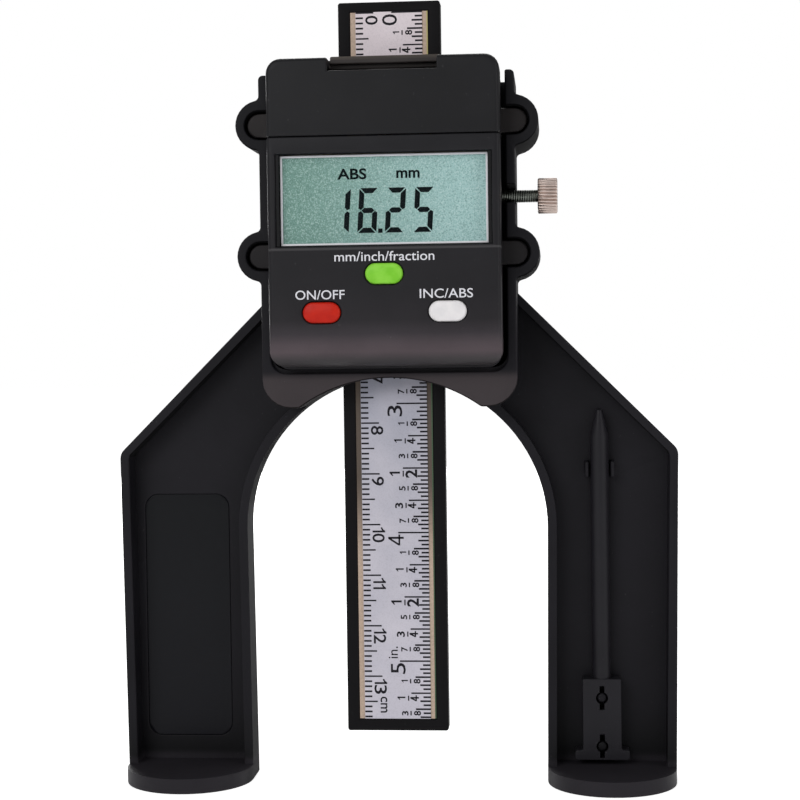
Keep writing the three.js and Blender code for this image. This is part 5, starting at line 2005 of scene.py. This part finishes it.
@dataclass
class Screws:
    """The twelve screws, each with a rolled thread and a cross recess.

    Attributes:
        pitch: The thread's pitch in millimetres.
        thread: The thread's depth in millimetres.
        arm: Half of the recess's length over the head's radius.
        width: Half of the width of an arm over the head's radius.
        depth: The recess's depth over the head's thickness.
        blend: Half of the width over which the recess's walls fall, over the head's radius.
        crown: The height of the face's crown over the head's thickness.
        rounding: The radius of the face's rim over the head's thickness.
        chamfer: The chamfer under the head in millimetres.
        face: The first, the last and the count of the face's rings, over the head's radius.
        steps: The rings in one turn of the thread.
        point: The radius at the tip over the shank's.
        around: Points of each ring.
    """

    RIM_SHARE = 0.95
    SEAT_GAP = 0.02

    pitch: float = 0.6
    thread: float = 0.16
    arm: float = 0.62
    width: float = 0.13
    depth: float = 0.5
    blend: float = 0.03
    crown: float = 0.18
    rounding: float = 0.25
    chamfer: float = 0.08
    face: tuple[float, float, int] = (0.84, 0.03, 22)
    steps: int = 7
    point: float = 0.6
    around: int = 96

    def build(self) -> None:
        """Makes all screws in the space of their nodes."""
        for group in ("ear_screw", "case_screw", "board_screw"):
            for number in range(1, 5):
                self.screw(f"{group}_{number}")
        LOG.info("screws: four in the ears, four in the case, four in the board")

    def screw(self, node: str) -> None:
        """Makes one screw as rings round its axis, from the tip to the middle of its face.

        Args:
            node: The node's name.
        """
        low, high = corners(node)
        centre = (low + high) / 2
        points = Edges.read(frame["nodes"][node].data.vertices, "co", float).reshape(-1, 3) / MM
        reach = np.hypot(points[:, 0] - centre[0], points[:, 2] - centre[2])
        radius = float(reach.max())
        rim = radius * self.RIM_SHARE
        head = points[reach > rim, 1]
        way = 1.0 if float(head.mean()) > centre[1] else -1.0
        tip = float(low[1] if way > 0 else high[1])
        seat = abs(float(head.min() if way > 0 else head.max()) - tip)
        top = float(high[1] - low[1])
        shank = float(reach[reach < rim].max())
        rows = self.shank(shank, seat) + self.head(radius, shank, seat, top)
        turn = circle(self.around)
        stack = np.stack([
            np.stack([centre[0] + ring * np.cos(turn), tip + way * place, centre[2] + ring * np.sin(turn)],
                     axis=-1)
            for place, ring in rows])
        made = Shape.rings(f"{node}_threaded", stack, SCREW_STEEL, smooth=40.0)
        Shape.stand_in(made, node)

    def shank(self, radius: float, length: float) -> list[tuple[np.ndarray, np.ndarray]]:
        """Gives the rings of the thread.

        At the distance s from the tip and the angle t the radius is the shank's radius less the thread's
        depth times (0.5 - 0.5 cos(2 pi s / pitch - t)), drawn in towards the tip and faded under the head.

        Args:
            radius: The shank's radius.
            length: Its length.

        Returns:
            The distances from the tip and the radii of each ring.
        """
        turn = circle(self.around)
        rows = []
        for place in np.linspace(0.0, length, max(4, round(length / self.pitch * self.steps))):
            wave = 0.5 - 0.5 * np.cos(2 * math.pi * place / self.pitch - turn)
            fade = min(1.0, (length - place) / self.pitch)
            taper = self.point + (1 - self.point) * min(1.0, place / (self.pitch * 2))
            rows.append((np.full(self.around, place), (radius - self.thread * wave * fade) * taper))
        return rows

    def head(self, radius: float, shank: float, seat: float,
             top: float) -> list[tuple[np.ndarray, np.ndarray]]:
        """Gives the rings of the head, whose crowned face sinks into the cross recess.

        The recess is as deep as the product of two smooth steps, of the smaller and of the larger of the
        distances from its two axes.

        Args:
            radius: The head's radius.
            shank: The shank's radius.
            seat: The distance from the tip to the head's underside.
            top: The distance from the tip to the middle of its face.

        Returns:
            As for shank.
        """
        turn = circle(self.around)
        whole = np.ones(self.around)
        thick = top - seat
        crown, rounding = thick * self.crown, thick * self.rounding
        rows = [(whole * seat, whole * (shank + self.SEAT_GAP)),
                (whole * seat, whole * (radius - self.chamfer)),
                (whole * (seat + self.chamfer), whole * radius),
                (whole * (top - crown - rounding), whole * radius)]
        for angle in np.linspace(math.pi / 8, math.pi / 2, 4):
            rows.append((whole * (top - crown - rounding * (1 - math.sin(angle))),
                         whole * (radius - rounding * (1 - math.cos(angle)))))
        for share in np.linspace(*self.face):
            across, up = abs(share * np.cos(turn)), abs(share * np.sin(turn))
            inside = (self.fall(np.minimum(across, up), self.width)
                      * self.fall(np.maximum(across, up), self.arm))
            rise = crown * share ** 2 / self.face[0] ** 2
            rows.append((top - rise - self.depth * thick * inside, whole * share * radius))
        return rows

    def fall(self, value: np.ndarray, limit: float) -> np.ndarray:
        """Falls smoothly from 1 to 0 as the value passes the limit."""
        share = np.clip((limit + self.blend - value) / (self.blend * 2), 0.0, 1.0)
        return share * share * (3 - 2 * share)


@dataclass
class Camera:
    """The camera at the photograph's viewing angle, from the fitted position and directions."""

    place: tuple[float, float, float] = (31.755, -352.855, 88.644)
    forward: tuple[float, float, float] = (-0.08514758, 0.99576782, -0.03458815)
    right: tuple[float, float, float] = (0.99636399, 0.08519856, 0.0)
    roll: float = 0.7662
    focal: float = 1814.91
    sensor: float = 36.0
    seen: tuple[float, float] = (0.01, 10.0)

    def build(self) -> None:
        """Makes the camera: its axes are the fitted right and up directions, turned by the roll."""
        forward = Vector(self.forward).normalized()
        right = Vector(self.right).normalized()
        up = right.cross(forward)
        turn = math.radians(self.roll)
        across = right * math.cos(turn) - up * math.sin(turn)
        high = right * math.sin(turn) + up * math.cos(turn)
        data = bpy.data.cameras.new("camera")
        data.sensor_width = self.sensor
        data.lens = self.focal * self.sensor / IMAGE_SIDE
        data.clip_start, data.clip_end = self.seen
        made = linked("camera", data)
        turned = Matrix((across, high, -forward)).transposed().to_4x4()
        made.matrix_world = Matrix.Translation(Vector(self.place) * MM) @ turned
        bpy.context.scene.camera = made
        LOG.info("camera: lens %.2f mm", data.lens)


@dataclass
class Studio:
    """A pale floor, a white surround and soft lamps."""

    floor_half: float = 3000.0
    surround: float = 0.35
    aim: tuple[float, float, float] = (0.0, 0.0, 80.0)
    lamps: tuple[tuple[str, tuple[float, float, float], float, float], ...] = (
        ("lamp_front", (-320.0, -620.0, 420.0), 420.0, 2.6),
        ("lamp_right", (560.0, -360.0, 260.0), 320.0, 1.0),
        ("lamp_back", (60.0, 420.0, 620.0), 420.0, 1.6),
        ("lamp_behind", (-260.0, 760.0, 240.0), 480.0, 4.0),
    )

    def build(self) -> None:
        """Makes the floor, the surround and the area lamps."""
        half = self.floor_half
        points = np.array([(-half, -half, 0.0), (half, -half, 0.0), (half, half, 0.0), (-half, half, 0.0)])
        floor = Shape.piece("floor", points, [(0, 1, 2, 3)], FloorPaper("paper_floor"), None)
        self.sky()
        for name, place, side, power in self.lamps:
            self.lamp(name, place, side, power)
        bpy.context.scene.view_settings.view_transform = "Standard"
        LOG.info("studio: floor, surround and lamps")

    def sky(self) -> None:
        """Makes a surround that is white to the eye and in reflections, and dimmer as light."""
        world = bpy.data.worlds.new("surround")
        bpy.context.scene.world = world
        world.use_nodes = True
        graph = Graph(world.node_tree)
        seen = graph.node("ShaderNodeLightPath", result="Is Camera Ray")
        through = Wire(graph, seen.socket.node.outputs["Is Transmission Ray"])
        white = seen.maths("MAXIMUM", seen, through)
        strength = self.surround + white * (1 - self.surround)
        back = graph.node("ShaderNodeBackground", None, {"Color": (1.0, 1.0, 1.0), "Strength": strength})
        out = world.node_tree.nodes.new("ShaderNodeOutputWorld")
        world.node_tree.links.new(back.socket, out.inputs["Surface"])

    def lamp(self, name: str, place: tuple[float, float, float], side: float, power: float) -> None:
        """Makes one square area lamp that looks at the gauge.

        Args:
            name: Its name.
            place: Its place in millimetres.
            side: Its side in millimetres.
            power: Its power in watts.
        """
        data = bpy.data.lights.new(name, "AREA")
        data.size = side * MM
        data.energy = power
        made = linked(name, data)
        made.location = Vector(place) * MM
        aim = Vector(self.aim) * MM - made.location
        made.rotation_euler = aim.to_track_quat("-Z", "Y").to_euler()


def main() -> None:
    """Builds the camera, the gauge's sub-assemblies and the studio in order."""
    logging.basicConfig(level=logging.INFO, format="%(name)s: %(message)s")
    Camera().build()
    makers: Sequence[Callable[[], None]] = (
        Stand().build, Head().build, Display().build, Keys().build, Beam().build, Lock().build,
        Inside().build, Screws().build, Studio().build)
    for make in makers:
        make()
    bpy.context.view_layer.update()


if __name__ == "__main__":
    main()
